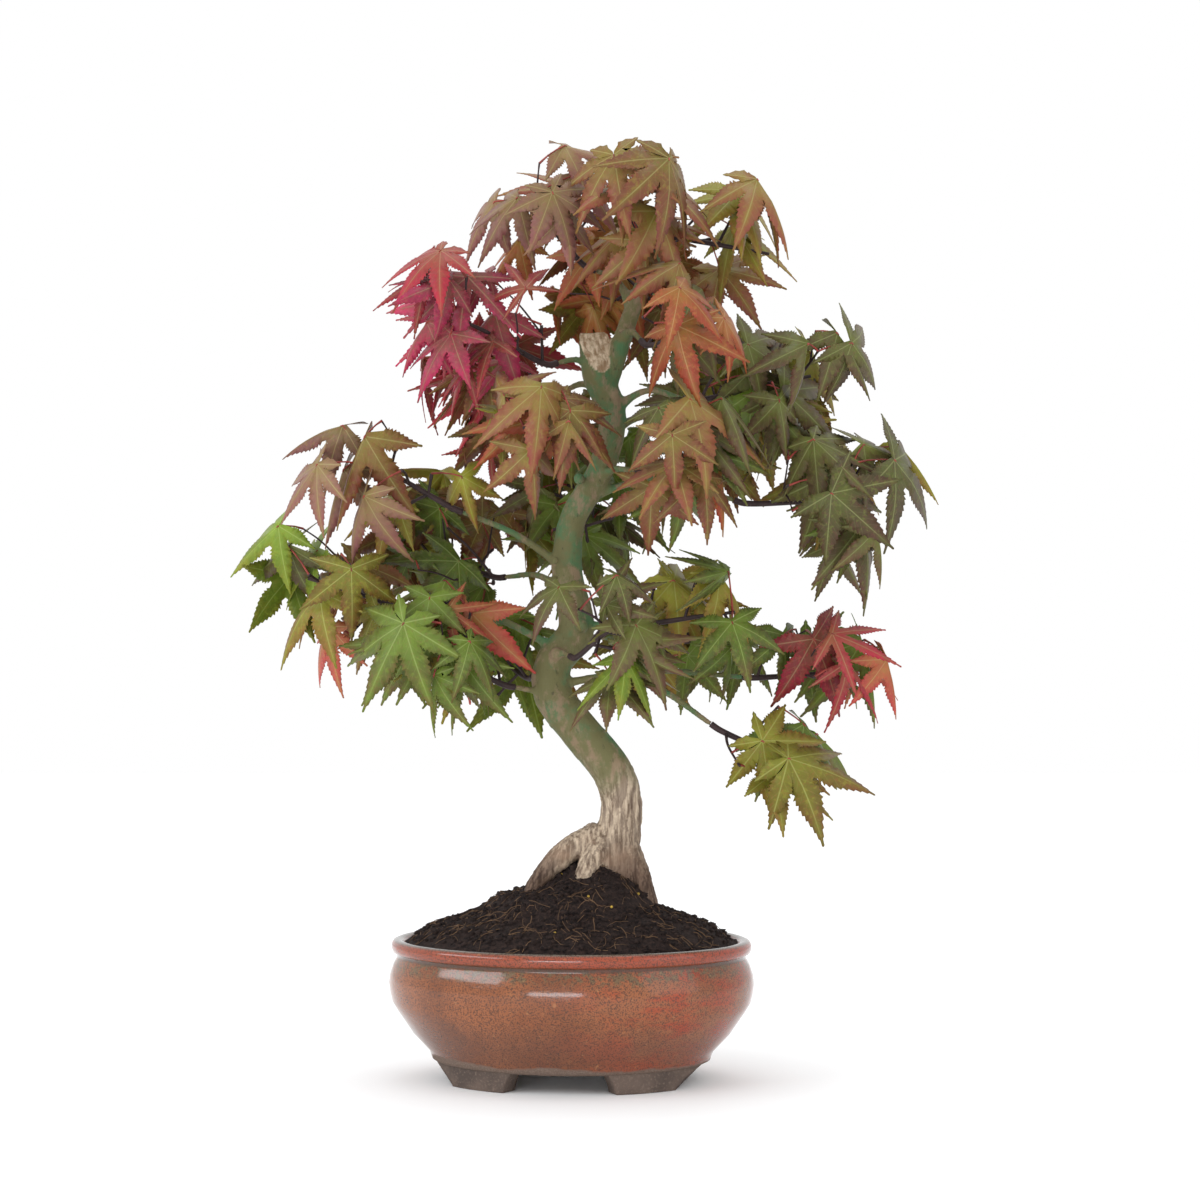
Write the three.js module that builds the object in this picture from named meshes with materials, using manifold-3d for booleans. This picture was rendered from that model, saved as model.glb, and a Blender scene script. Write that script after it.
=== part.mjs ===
// Japanese maple bonsai in a glazed oval pot that stands on four clay feet.
// Millimetres, +Z up, +X to the right as the tree is shown, +Y towards its back. The origin lies on
// the ground under the middle of the plant's outline, so the pot stands a little to the left of it.

import * as THREE from 'three';
import { mergeVertices } from 'three/addons/utils/BufferGeometryUtils.js';
import Module from 'manifold-3d';

const wasm = await Module();
wasm.setup();

const clearance = 0.3; // between two solids that touch
const vec = (x, y, z) => new THREE.Vector3(x, y, z);

// The pot: half lengths of the oval at its main heights, its wall, and its feet
const pot = {
  centre: vec(-8.7, 0, 0),
  turn: THREE.MathUtils.degToRad(-6),
  depthShare: 0.79, // the oval's depth over its length
  sectors: 28,
  footHeight: 11,
  baseHalf: 81,
  bellyHalf: 106,
  bellyHeight: 56,
  neckHalf: 101,
  neckHeight: 72,
  lipHalf: 104.5,
  lipTop: 81,
  wall: 7,
  floorTop: 20,
};
const foot = {
  inset: 2, // in from the edge of the base
  thick: 14,
  bottom: [32, 64], // how far the flat of each foot runs from the middle of the pot
  top: [27, 80],
};

// The soil: level with the lip at its edge, domed, with a flat-topped hump round the roots
const soil = {
  edge: 79,
  dome: 17,
  hump: 9,
  humpAt: [4, 0],
  humpReach: 46,
  humpSlope: 10,
  peak: 23,
  peakSpread: 26,
  rings: 7,
  unevenness: 1.1,
};
const groundLevel = 105; // of the flat cut under the trunk, sunk in the hump

// The trunk: x, y, z and radius at each bend of its double curve, up to the sawn top
const trunkBends = [
  [14, 0, 96, 17],
  [16, 0, 128, 13.8],
  [20.5, -1, 158, 11.9],
  [15.5, -3, 177, 11.8],
  [-5, -4, 203, 11.5],
  [-19.5, -3, 223, 11.2],
  [-19, 0, 240, 11],
  [-6, 3, 259, 10.6],
  [-11, 5, 292, 9],
  [-8, 5, 323, 8],
  [9, 1, 354, 7.7],
  [15, -2, 384, 8.2],
  [6.5, -3, 408, 9.2],
  [4.5, -2, 432, 8.8],
];

// Surface roots: where each leaves the trunk, bends and dips into the soil, and its two radii
const roots = [
  { from: [8, -2, 141], bend: [-12, -6, 131], to: [-33, -8, 109], radii: [9, 4.5] },
  { from: [12, -4, 138], bend: [3, -13, 127], to: [-4, -20, 108], radii: [8, 4.6] },
  { from: [21, -2, 136], bend: [28, -5, 123], to: [37, -8, 104], radii: [9, 5] },
  { from: [18, 4, 137], bend: [24, 13, 124], to: [32, 23, 104], radii: [8.5, 4.6] },
  { from: [10, 4, 138], bend: [-1, 13, 125], to: [-14, 22, 106], radii: [8.5, 4.4] },
];

// The leader grows from the side of the sawn trunk and carries the top of the crown
const leaderBends = [[11, -2, 398], [20, -2, 425], [29, 0, 451], [39, 3, 474], [46, 5, 494]];
const leaderRadius = [6.4, 3.4];

// A leaf: a blade of five pointed lobes on a thin stalk. Lobes and the notches between them are
// [degrees from the middle lobe, share of the blade's length].
const leaf = {
  length: 43,
  lobes: [[0, 1], [41, 0.9], [86, 0.64]],
  notches: [[21, 0.42], [63, 0.37]],
  sinus: 0.05, // the blade reaches this far behind its stalk
  middle: 0.16, // the thickest point, ahead of the stalk
  thick: 1.5,
  droop: 0.26, // how far the tips hang below the middle
  stalk: 25,
  stalkRadius: 0.55,
  spacing: 6.2, // least distance between points of two leaves of a mass
  clear: 5, // least distance from a limb's bark to a point of the blade
  tries: 60, // each on a new stalk, with a smaller blade every time
  smallest: 0.66,
};
// Masses of foliage. `at` is the middle of the mass's space and `reach` its half sizes. `host` is
// the limb that carries it and `fork` how far along that limb its bough leaves, as a share of its
// length. `arch` is how far the bough bows up.
const masses = [
  { name: 'top_left', at: [-24, -8, 496], reach: [56, 54, 48], host: 'leader', fork: 0.5, arch: 6 },
  { name: 'top_middle', at: [28, -30, 490], reach: [50, 52, 52], host: 'leader', fork: 0.8, arch: 4 },
  { name: 'top_right', at: [88, -6, 480], reach: [50, 52, 50], host: 'leader', fork: 0.95, arch: 5 },
  { name: 'top_back', at: [30, 56, 462], reach: [60, 58, 56], host: 'leader', fork: 0.66, arch: 6 },
  { name: 'upper_left', at: [-58, -34, 430], reach: [64, 60, 50], host: 'trunk', fork: 0.92, arch: 7 },
  { name: 'upper_front', at: [50, -62, 422], reach: [50, 54, 50], host: 'leader', fork: 0.3, arch: 5 },
  { name: 'upper_right', at: [108, -14, 402], reach: [68, 62, 50], host: 'trunk', fork: 0.87, arch: 8 },
  { name: 'upper_back_left', at: [-50, 60, 398], reach: [62, 58, 56], host: 'trunk', fork: 0.9, arch: 6 },
  { name: 'upper_back_right', at: [90, 62, 386], reach: [60, 58, 56], host: 'trunk', fork: 0.84, arch: 6 },
  { name: 'centre_left', at: [-26, -70, 370], reach: [50, 54, 48], host: 'trunk', fork: 0.8, arch: 3 },
  { name: 'centre_right', at: [52, -68, 352], reach: [52, 54, 54], host: 'trunk', fork: 0.76, arch: 3 },
  { name: 'middle_left', at: [-112, -28, 350], reach: [64, 60, 52], host: 'trunk', fork: 0.6, arch: 4 },
  { name: 'middle_right', at: [136, -6, 334], reach: [63, 64, 68], host: 'trunk', fork: 0.72, arch: 12 },
  { name: 'middle_back', at: [4, 66, 334], reach: [64, 56, 62], host: 'trunk', fork: 0.66, arch: 6 },
  { name: 'far_left', at: [-142, -2, 284], reach: [62, 62, 62], host: 'trunk', fork: 0.46, arch: 8 },
  { name: 'back_left', at: [-84, 66, 300], reach: [60, 58, 60], host: 'trunk', fork: 0.56, arch: 6 },
  { name: 'low_front', at: [18, -64, 246], reach: [48, 54, 50], host: 'trunk', fork: 0.43, arch: 5 },
  { name: 'low_left', at: [-82, -26, 246], reach: [62, 58, 50], host: 'trunk', fork: 0.36, arch: 3 },
  { name: 'low_back_left', at: [-50, 62, 240], reach: [60, 56, 50], host: 'trunk', fork: 0.4, arch: 5 },
  { name: 'low_right', at: [68, -22, 268], reach: [56, 56, 52], host: 'trunk', fork: 0.5, arch: 2 },
  { name: 'low_back_right', at: [62, 62, 252], reach: [60, 56, 54], host: 'trunk', fork: 0.47, arch: 5 },
  { name: 'right_end', at: [134, 8, 234], reach: [54, 54, 42], host: 'trunk', fork: 0.4, arch: 6 },
  { name: 'right_hanging', at: [118, -20, 184], reach: [72, 54, 48], host: 'bough_right_end', fork: 0.3,
    arch: 6 },
];
// Where the sky shows through the crown, or the trunk in front of it: [x, z] of the middle and the
// half sizes of an oval that no leaf enters, right through or only in front of the trunk
const gaps = [
  { at: [101, 300], reach: [23, 27], front: false },
  { at: [-108, 394], reach: [15, 13], front: false },
  { at: [-3, 314], reach: [13, 30], front: true },
  { at: [5, 412], reach: [15, 20], front: true },
  { at: [-22, 228], reach: [10, 16], front: true },
];
const entry = 0.8; // how far from the middle of its space a bough ends, as a share of the reach
const shortestBough = 8;
const boughRadius = [3.2, 2];
const stemRadius = [2, 1.8];
const twigRadius = [1.2, 1.2];

const finish = (color, roughness) => new THREE.MeshStandardMaterial({ color, roughness, metalness: 0 });
const glaze = finish('#96593f', 0.22);
const compost = finish('#2a2023', 0.95);
const bark = finish('#6f6f55', 0.8);
const youngBark = finish('#4d4a35', 0.7);
const foliage = {
  top: finish('#7b5a35', 0.6),
  upper: finish('#8a4a40', 0.6),
  middle: finish('#6c6f35', 0.6),
  low: finish('#74873c', 0.6),
};

// A repeatable stream of numbers from -1 to 1
function seeded(seed) {
  let state = seed;
  return () => {
    state = (state * 48271) % 2147483647;
    return (state / 2147483647) * 2 - 1;
  };
}

// Points and triangles of a geometry once points closer than `weld` are one
function welded(geometry, weld) {
  geometry.deleteAttribute('normal');
  geometry.deleteAttribute('uv');
  const merged = mergeVertices(geometry, weld);
  const corners = merged.index.array;
  const triangles = [];
  for (let i = 0; i < corners.length; i += 3) {
    const [a, b, c] = [corners[i], corners[i + 1], corners[i + 2]];
    if (a !== b && b !== c && c !== a) triangles.push([a, b, c]);
  }
  return { points: merged.attributes.position.array, triangles };
}

function solidOf(geometry, weld = 1e-4) {
  const { points, triangles } = welded(geometry, weld);
  return new wasm.Manifold(new wasm.Mesh({
    numProp: 3,
    vertProperties: Float32Array.from(points),
    triVerts: Uint32Array.from(triangles.flat()),
  }));
}

function geometryOf(solid) {
  const mesh = solid.getMesh();
  const geometry = new THREE.BufferGeometry();
  geometry.setAttribute('position', new THREE.BufferAttribute(mesh.vertProperties, 3));
  geometry.setIndex(new THREE.BufferAttribute(mesh.triVerts, 1));
  geometry.computeVertexNormals();
  return geometry;
}

const largest = (bodies) => bodies.reduce((best, body) => (body.volume() > best.volume() ? body : best));

function everyEdgePaired(solid, weld) {
  const uses = new Map();
  for (const [a, b, c] of welded(geometryOf(solid), weld).triangles) {
    for (const [from, to] of [[a, b], [b, c], [c, a]]) {
      const edge = from < to ? `${from} ${to}` : `${to} ${from}`;
      uses.set(edge, (uses.get(edge) ?? 0) + 1);
    }
  }
  return [...uses.values()].every((count) => count === 2);
}

// The largest single body of a solid, without hair-thin slivers or the hollows that they seal, and
// smoothed by a coarser grain where an edge would have more than two faces
function mainBody(solid) {
  let body = solid;
  for (const grain of [0.05, 0.08, 0.12, 0.18, 0.25]) {
    body = largest(body.simplify(grain).decompose());
    body = largest(solidOf(geometryOf(body), 2e-3).decompose());
    if ([1e-4, 1e-3, 2e-3].every((weld) => everyEdgePaired(body, weld))) break;
  }
  return body;
}

const fuse = (parts) => mainBody(wasm.Manifold.union(parts));

// ---- limbs ----

const smoothPath = (points) => new THREE.CatmullRomCurve3(points, false, 'centripetal');
const taper = ([thick, thin], along) => thick + (thin - thick) * along;

// A closed tube round a path, with its radius a function of the way along
function tube(path, sides, steps, radiusAt) {
  const geometry = new THREE.CylinderGeometry(1, 1, 1, sides, steps);
  const frames = path.computeFrenetFrames(steps, false);
  const rim = geometry.attributes.position;
  for (let i = 0; i < rim.count; i++) {
    const step = Math.round((rim.getY(i) + 0.5) * steps);
    const radius = radiusAt(step / steps);
    const point = path.getPointAt(step / steps)
      .addScaledVector(frames.normals[step], rim.getX(i) * radius)
      .addScaledVector(frames.binormals[step], -rim.getZ(i) * radius);
    rim.setXYZ(i, point.x, point.y, point.z);
  }
  return solidOf(geometry);
}

// A limb keeps its path and radius, its solid, and the same solid grown to cut its neighbours with
function limb(path, sides, steps, radiusAt) {
  const grownRadius = (along) => radiusAt(along) + clearance * 1.15;
  return {
    path,
    radiusAt,
    solid: tube(path, sides, steps, radiusAt),
    grown: tube(path, sides, steps, grownRadius),
  };
}

function makeTrunk() {
  const path = smoothPath(trunkBends.map(([x, y, z]) => vec(x, y, z)));
  const radiusAt = (along) => {
    const height = path.getPointAt(along).z;
    const above = Math.max(1, trunkBends.findIndex((bend) => bend[2] >= height - 1e-6));
    const [low, high] = [trunkBends[above - 1], trunkBends[above]];
    return THREE.MathUtils.mapLinear(height, low[2], high[2], low[3], high[3]);
  };
  const trunk = limb(path, 10, 22, radiusAt);
  for (const { from, bend, to, radii } of roots) {
    const rootPath = smoothPath([vec(...from), vec(...bend), vec(...to)]);
    const root = limb(rootPath, 7, 5, (along) => taper(radii, along));
    trunk.solid = trunk.solid.add(root.solid);
    trunk.grown = trunk.grown.add(root.grown);
  }
  trunk.solid = mainBody(trunk.solid.subtract(earthBelow(groundLevel)));
  trunk.grown = trunk.grown.subtract(earthBelow(groundLevel - clearance));
  return trunk;
}

function earthBelow(level) {
  return solidOf(new THREE.BoxGeometry(200, 200, 60).translate(0, 0, level - 30));
}

// A bough leaves its host's axis, bows up and ends where it enters its mass. A mass whose space
// comes near its host has none.
function makeBough(mass, host) {
  const start = host.path.getPointAt(mass.fork);
  const span = start.clone().sub(mass.middle);
  const across = vec(span.x / mass.reach[0], span.y / mass.reach[1], span.z / mass.reach[2]).length();
  const end = mass.middle.clone().addScaledVector(span, Math.min(1, entry / across));
  if (start.distanceTo(end) < host.radiusAt(mass.fork) + shortestBough) return null;
  const bow = start.clone().lerp(end, 0.5);
  bow.z += mass.arch;
  return limb(smoothPath([start, bow, end]), 5, 3, (along) => taper(boughRadius, along));
}

// ---- the space that each mass keeps to ----

// Masses share the room between them by flat borders, and each stays in its own oval as well
function within(point, mass, margin) {
  const offset = point.clone().sub(mass.middle);
  const [rx, ry, rz] = mass.reach;
  const share = vec(offset.x / (rx - margin), offset.y / (ry - margin), offset.z / (rz - margin)).length();
  if (share > 1 || gaps.some((gap) => inGap(point, gap))) return false;
  return mass.borders.every(({ normal, level }) => normal.dot(point) < level - margin);
}

function inGap(point, { at, reach, front }) {
  if (front && point.y > 0) return false;
  return Math.hypot((point.x - at[0]) / reach[0], (point.z - at[1]) / reach[1]) < 1;
}

function bordersOf(mass, all) {
  const size = (m) => (m.reach[0] + m.reach[1] + m.reach[2]) / 3;
  return all.filter((other) => other !== mass).map((other) => {
    const normal = other.middle.clone().sub(mass.middle);
    const apart = normal.length();
    normal.divideScalar(apart);
    const away = (apart * apart + size(mass) ** 2 - size(other) ** 2) / (2 * apart);
    return { normal, level: normal.dot(mass.middle) + away };
  });
}

// Every limb as a chain of points with a radius, for the tests that keep leaves off the bark
function chainOf(path, radiusAt, owner) {
  const links = Math.ceil(path.getLength() / 8);
  return Array.from({ length: links + 1 }, (_, i) => ({
    owner,
    point: path.getPointAt(i / links),
    radius: radiusAt(i / links),
  }));
}

function clearOf(point, beads, mass, margin) {
  return beads.every((bead) => bead.owner === mass.name
    || bead.point.distanceTo(point) > bead.radius + margin);
}

// ---- twigs and leaves ----

function prism(from, to, radii) {
  return tube(new THREE.LineCurve3(from, to), 4, 1, (along) => taper(radii, along));
}

// The blade's own directions: it looks out of the crown and a little up, and its lobes point out
// and down
function poseOf(foot, heading, random) {
  const out = foot.x / 200;
  const look = foot.y < 25 ? -0.85 : 0.85;
  const normal = vec(out * 0.7 + random() * 0.4, look + random() * 0.25, 0.45 + random() * 0.3).normalize();
  const forward = vec(out * 0.9 + random() * 0.45, random() * 0.2, -0.7 + random() * 0.4)
    .addScaledVector(heading, 0.55);
  forward.addScaledVector(normal, -forward.dot(normal)).normalize();
  const side = normal.clone().cross(forward);
  return { normal, forward, side };
}

function bladePoint(foot, pose, size, degrees, share) {
  const angle = THREE.MathUtils.degToRad(degrees);
  return foot.clone()
    .addScaledVector(pose.forward, Math.cos(angle) * share * size)
    .addScaledVector(pose.side, Math.sin(angle) * share * size)
    .addScaledVector(pose.normal, -leaf.droop * size * share * share);
}

// The blade's rim, once round from one side of the stalk to the other
function rimOf(foot, pose, size) {
  const half = [];
  leaf.lobes.forEach((lobe, i) => {
    half.push(lobe);
    if (leaf.notches[i]) half.push(leaf.notches[i]);
  });
  const mirrored = half.slice(1).map(([degrees, share]) => [-degrees, share]);
  const round = [[-165, leaf.sinus], ...mirrored.reverse(), ...half, [165, leaf.sinus]];
  return round.map(([degrees, share]) => bladePoint(foot, pose, size, degrees, share));
}

function testPoints(foot, pose, size) {
  const points = rimOf(foot, pose, size);
  for (const [degrees, share] of leaf.lobes) {
    for (const part of [0.33, 0.67]) {
      points.push(bladePoint(foot, pose, size, degrees, share * part));
      points.push(bladePoint(foot, pose, size, -degrees, share * part));
    }
  }
  return points;
}

// A leaf in one closed skin: two fans over the blade, and the stalk drawn out of the gap that they
// leave behind their middles
function leafSolid(node, foot, pose, size) {
  const middle = foot.clone().addScaledVector(pose.forward, leaf.middle * size);
  const rim = rimOf(foot, pose, size);
  const stalk = foot.clone().sub(node).normalize();
  const across = stalk.clone().cross(pose.normal).normalize();
  const above = across.clone().cross(stalk);
  const corner = (turn) => node.clone()
    .addScaledVector(across, Math.cos(turn) * leaf.stalkRadius)
    .addScaledVector(above, Math.sin(turn) * leaf.stalkRadius);
  const over = middle.clone().addScaledVector(pose.normal, leaf.thick / 2);
  const under = middle.clone().addScaledVector(pose.normal, -leaf.thick / 2);
  const base = [Math.PI / 2, -Math.PI / 6, (-5 * Math.PI) / 6].map(corner);
  const points = [...rim, over, under, ...base];
  const last = rim.length - 1;
  const [overAt, underAt, top, right, left] = [1, 2, 3, 4, 5].map((i) => last + i);
  const corners = [];
  for (let i = 0; i < last; i++) corners.push(overAt, i, i + 1, underAt, i + 1, i);
  corners.push(overAt, last, top, last, left, top, last, underAt, left);
  corners.push(underAt, right, left, underAt, 0, right, 0, top, right, 0, overAt, top, top, left, right);
  return solidOf(new THREE.BufferGeometry().setFromPoints(points).setIndex(corners));
}

const sampled = (from, to, shares) => shares.map((share) => from.clone().lerp(to, share));
const allApart = (points, others, gap) => points.every((point) => others.every((other) => (
  other.distanceTo(point) > gap)));

// One leaf on a stalk from `node`: the first of a few tries that stays in its space, off the limbs
// and clear of the mass's other leaves and twigs
function addLeaf(mass, shoot, node, heading, beads, random) {
  const vigour = 1 + random() * 0.16;
  for (let attempt = 0; attempt < leaf.tries; attempt++) {
    const turned = heading.clone().add(vec(random(), random(), random()).multiplyScalar(0.45)).normalize();
    const pose = poseOf(node, turned, random);
    const foot = node.clone().addScaledVector(turned, leaf.stalk * (0.85 + random() * 0.35));
    const size = leaf.length * vigour * THREE.MathUtils.lerp(1, leaf.smallest, attempt / leaf.tries);
    const points = testPoints(foot, pose, size);
    const stalk = sampled(node, foot, [0.4, 0.6, 0.8]);
    const fitting = pose.forward.dot(turned) > 0.2
      && points.every((point) => within(point, mass, 0.6)
        && clearOf(point, beads, mass, leaf.clear))
      && allApart(points, shoot.blades, leaf.spacing)
      && allApart(points, shoot.wood, leaf.spacing)
      && allApart(stalk, shoot.blades, leaf.spacing);
    if (fitting) {
      shoot.leaves += 1;
      shoot.blades.push(...points);
      shoot.wood.push(...stalk);
      shoot.parts.push(leafSolid(node, foot, pose, size));
      return;
    }
  }
}

function roomAlong(from, heading, mass) {
  const step = 2;
  let far = 0;
  while (within(from.clone().addScaledVector(heading, far + step), mass, 2)) far += step;
  return far;
}

// Leaves in a ring round the tip of a twig
function addTuft(mass, shoot, tip, heading, count, beads, random) {
  const across = heading.clone().cross(Math.abs(heading.z) < 0.8 ? vec(0, 0, 1) : vec(1, 0, 0)).normalize();
  const turn = random() * Math.PI;
  for (let i = 0; i < count; i++) {
    const spread = across.clone().applyAxisAngle(heading, turn + (i * 2 * Math.PI) / count);
    const stalkHeading = heading.clone().multiplyScalar(0.55).addScaledVector(spread, 0.85).normalize();
    addLeaf(mass, shoot, tip, stalkHeading, beads, random);
  }
}

// A mass: its stem, twigs in crosswise pairs along it, and tufts of leaves on them
function growMass(mass, beads) {
  const random = seeded(mass.seed);
  const stemPoints = [0, 0.2, 0.4, 0.6, 0.8, 1].map((share) => mass.stem.path.getPointAt(share));
  const shoot = { parts: [mass.stem.solid], blades: [], wood: stemPoints, leaves: 0 };
  const nodes = [0.35, 0.62, 0.9];
  const twigs = [];
  let turn = random() * Math.PI;
  for (const node of nodes) {
    const point = mass.stem.path.getPointAt(node);
    const along = mass.stem.path.getTangentAt(node);
    const across = along.clone().cross(Math.abs(along.z) < 0.8 ? vec(0, 0, 1) : vec(1, 0, 0)).normalize();
    for (const side of [0, Math.PI]) {
      const spread = across.clone().applyAxisAngle(along, turn + side + random() * 0.35);
      const heading = along.clone().multiplyScalar(0.4 + random() * 0.2).add(spread).normalize();
      const tip = point.clone().addScaledVector(heading, roomAlong(point, heading, mass) * 0.56);
      const halfway = point.clone().lerp(tip, 0.5);
      const free = [tip, halfway].every((place) => clearOf(place, beads, mass, 3));
      if (free && tip.distanceTo(point) > 5) {
        shoot.wood.push(...sampled(point, tip, [0.25, 0.5, 0.75, 1]));
        twigs.push({ point, tip, heading });
      }
    }
    turn += Math.PI / 2;
  }
  addTuft(mass, shoot, mass.stem.path.getPointAt(0.97), mass.stem.path.getTangentAt(1), 3, beads, random);
  for (const { point, tip, heading } of twigs) {
    const before = shoot.leaves;
    addTuft(mass, shoot, tip.clone().addScaledVector(heading, -2), heading, 4, beads, random);
    addTuft(mass, shoot, point.clone().lerp(tip, 0.5), heading, 3, beads, random);
    if (shoot.leaves > before) shoot.parts.push(prism(point, tip, twigRadius));
  }
  return fuse(shoot.parts);
}

// The stem starts a hair beyond its bough's tip, runs on in line with it and crosses the mass. With
// no bough it starts in its host.
function makeStem(mass, bough, host) {
  const start = bough ? bough.path.getPointAt(1) : host.path.getPointAt(mass.fork);
  const heading = bough ? bough.path.getTangentAt(1) : mass.middle.clone().sub(start).normalize();
  start.addScaledVector(heading, clearance * 1.2);
  const straight = start.clone().addScaledVector(heading, 6);
  const beyond = mass.middle.clone().addScaledVector(mass.middle.clone().sub(start), 0.4);
  const path = smoothPath([start, straight, mass.middle, beyond]);
  const radiusAt = (along) => taper(stemRadius, along);
  return { path, radiusAt, solid: tube(path, 4, 3, radiusAt) };
}

// ---- pot and soil ----

// A profile of [half length, height] spun into the pot's oval, upright and turned with the pot
function oval(profile, sectors) {
  const outline = profile.map(([half, height]) => new THREE.Vector2(half, height));
  const geometry = new THREE.LatheGeometry(outline, sectors);
  return inPlace(geometry.rotateX(Math.PI / 2).scale(1, pot.depthShare, 1));
}

function inPlace(geometry) {
  return geometry.rotateZ(pot.turn).translate(pot.centre.x, pot.centre.y, 0);
}

// The inside of the wall, from the middle of the floor up to the neck
function innerProfile(gap) {
  return [
    [0, pot.floorTop + gap],
    [pot.baseHalf - pot.wall - gap, pot.floorTop + gap],
    [pot.bellyHalf - pot.wall - 5 - gap, pot.bellyHeight - 15],
    [pot.bellyHalf - pot.wall - gap, pot.bellyHeight],
    [pot.neckHalf - pot.wall + 1 - gap, pot.neckHeight],
  ];
}

function makePot() {
  const { footHeight, baseHalf, bellyHalf, bellyHeight, neckHalf, neckHeight, lipHalf, lipTop, wall } = pot;
  const outside = [
    [0, footHeight],
    [baseHalf - 3, footHeight],
    [baseHalf, footHeight + 2],
    [baseHalf + 1, footHeight + 5],
    [baseHalf + 11, bellyHeight - 29],
    [bellyHalf - 5, bellyHeight - 16],
    [bellyHalf - 0.8, bellyHeight - 6],
    [bellyHalf - 0.5, bellyHeight + 4],
    [neckHalf + 1.8, neckHeight - 4],
    [neckHalf, neckHeight],
    [lipHalf - 1, neckHeight + 1.5],
    [lipHalf, neckHeight + 4.5],
    [lipHalf - 1.3, lipTop - 1],
    [lipHalf - 4, lipTop],
    [neckHalf - wall + 1.5, lipTop - 2],
  ];
  const body = solidOf(oval([...outside, ...innerProfile(0).reverse()], pot.sectors));
  return fuse([body, ...feet()]);
}

// Each foot is a stretch of a low oval ring, cut to a bracket that narrows downwards
function feet() {
  const outer = pot.baseHalf - foot.inset;
  const inner = outer - foot.thick;
  const top = pot.footHeight + 1;
  const ring = solidOf(oval([[outer, 0], [outer, top], [inner, top], [inner, 0], [outer, 0]], 28));
  const depth = 90;
  return [[-1, -1], [1, -1], [-1, 1], [1, 1]].map(([side, face]) => {
    const bracket = new THREE.Shape();
    bracket.moveTo(side * foot.bottom[0], -1);
    bracket.quadraticCurveTo(side * (foot.bottom[0] - 2), top - 3, side * foot.top[0], top + 1);
    bracket.lineTo(side * foot.top[1], top + 1);
    bracket.quadraticCurveTo(side * (foot.bottom[1] + 4), top - 3, side * foot.bottom[1], -1);
    const slab = new THREE.ExtrudeGeometry(bracket, { depth, bevelEnabled: false, curveSegments: 3 });
    slab.rotateX(Math.PI / 2).translate(0, face > 0 ? depth + 1 : -1, 0);
    return ring.intersect(solidOf(inPlace(slab)));
  });
}

function soilHeight(x, y) {
  const half = pot.neckHalf - pot.wall;
  const rho = Math.hypot((x - pot.centre.x) / half, y / (half * pot.depthShare));
  const out = Math.hypot(x - soil.humpAt[0], y - soil.humpAt[1]);
  const hump = THREE.MathUtils.smoothstep(soil.humpReach - out, 0, soil.humpSlope);
  const lumps = soil.unevenness * Math.sin(x * 0.31) * Math.cos(y * 0.37 + x * 0.11);
  return soil.edge + soil.dome * Math.max(0, 1 - rho ** 2.4) + soil.hump * hump
    + soil.peak * Math.exp(-((out / soil.peakSpread) ** 2)) + lumps;
}

function makeSoil(trunk) {
  const rimHalf = pot.neckHalf - pot.wall + 1 - clearance;
  const surface = 500; // marks the points that are then set to the surface's height
  const profile = innerProfile(clearance);
  for (let ring = soil.rings; ring >= 0; ring--) profile.push([(rimHalf * ring) / soil.rings, surface]);
  const geometry = oval(profile, pot.sectors);
  const at = geometry.attributes.position;
  for (let i = 0; i < at.count; i++) {
    if (at.getZ(i) > surface - 1) at.setZ(i, soilHeight(at.getX(i), at.getY(i)));
  }
  return mainBody(solidOf(geometry).subtract(trunk.grown));
}

// ---- the whole plant ----

const plant = new THREE.Group();

function addNode(name, solid, material) {
  const mesh = new THREE.Mesh(geometryOf(solid), material);
  mesh.name = name;
  plant.add(mesh);
}

const trunk = makeTrunk();
const leaderPath = smoothPath(leaderBends.map((bend) => vec(...bend)));
const leader = limb(leaderPath, 7, 6, (along) => taper(leaderRadius, along));
const limbs = { trunk, leader };
addNode('pot', makePot(), glaze);
addNode('soil', makeSoil(trunk), compost);
addNode('trunk', trunk.solid, bark);
addNode('leader', mainBody(leader.solid.subtract(trunk.grown)), bark);

const beads = [
  ...chainOf(trunk.path, trunk.radiusAt, 'trunk'),
  ...chainOf(leader.path, leader.radiusAt, 'leader'),
];
masses.forEach((mass, i) => {
  const host = limbs[mass.host];
  mass.middle = vec(...mass.at);
  mass.seed = 1013 + i * 97;
  const bough = makeBough(mass, host);
  mass.stem = makeStem(mass, bough, host);
  const carriers = [trunk, leader, host];
  const cutClear = (solid) => carriers.reduce((left, carrier) => left.subtract(carrier.grown), solid);
  mass.stem.solid = mainBody(cutClear(mass.stem.solid));
  beads.push(...chainOf(mass.stem.path, mass.stem.radiusAt, mass.name));
  if (!bough) return;
  const name = `bough_${mass.name}`;
  limbs[name] = bough;
  beads.push(...chainOf(bough.path, bough.radiusAt, name));
  addNode(name, mainBody(cutClear(bough.solid)), youngBark);
});

for (const mass of masses) mass.borders = bordersOf(mass, masses);
const tintOf = (height) => {
  if (height > 460) return foliage.top;
  if (height > 400) return foliage.upper;
  return height > 290 ? foliage.middle : foliage.low;
};
for (const mass of masses) {
  addNode(`foliage_${mass.name}`, growMass(mass, beads), tintOf(mass.at[2]));
}

export default plant;
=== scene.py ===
import math
import random

import bmesh
import bpy
import numpy as np
from mathutils import Matrix, Vector, noise


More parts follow.
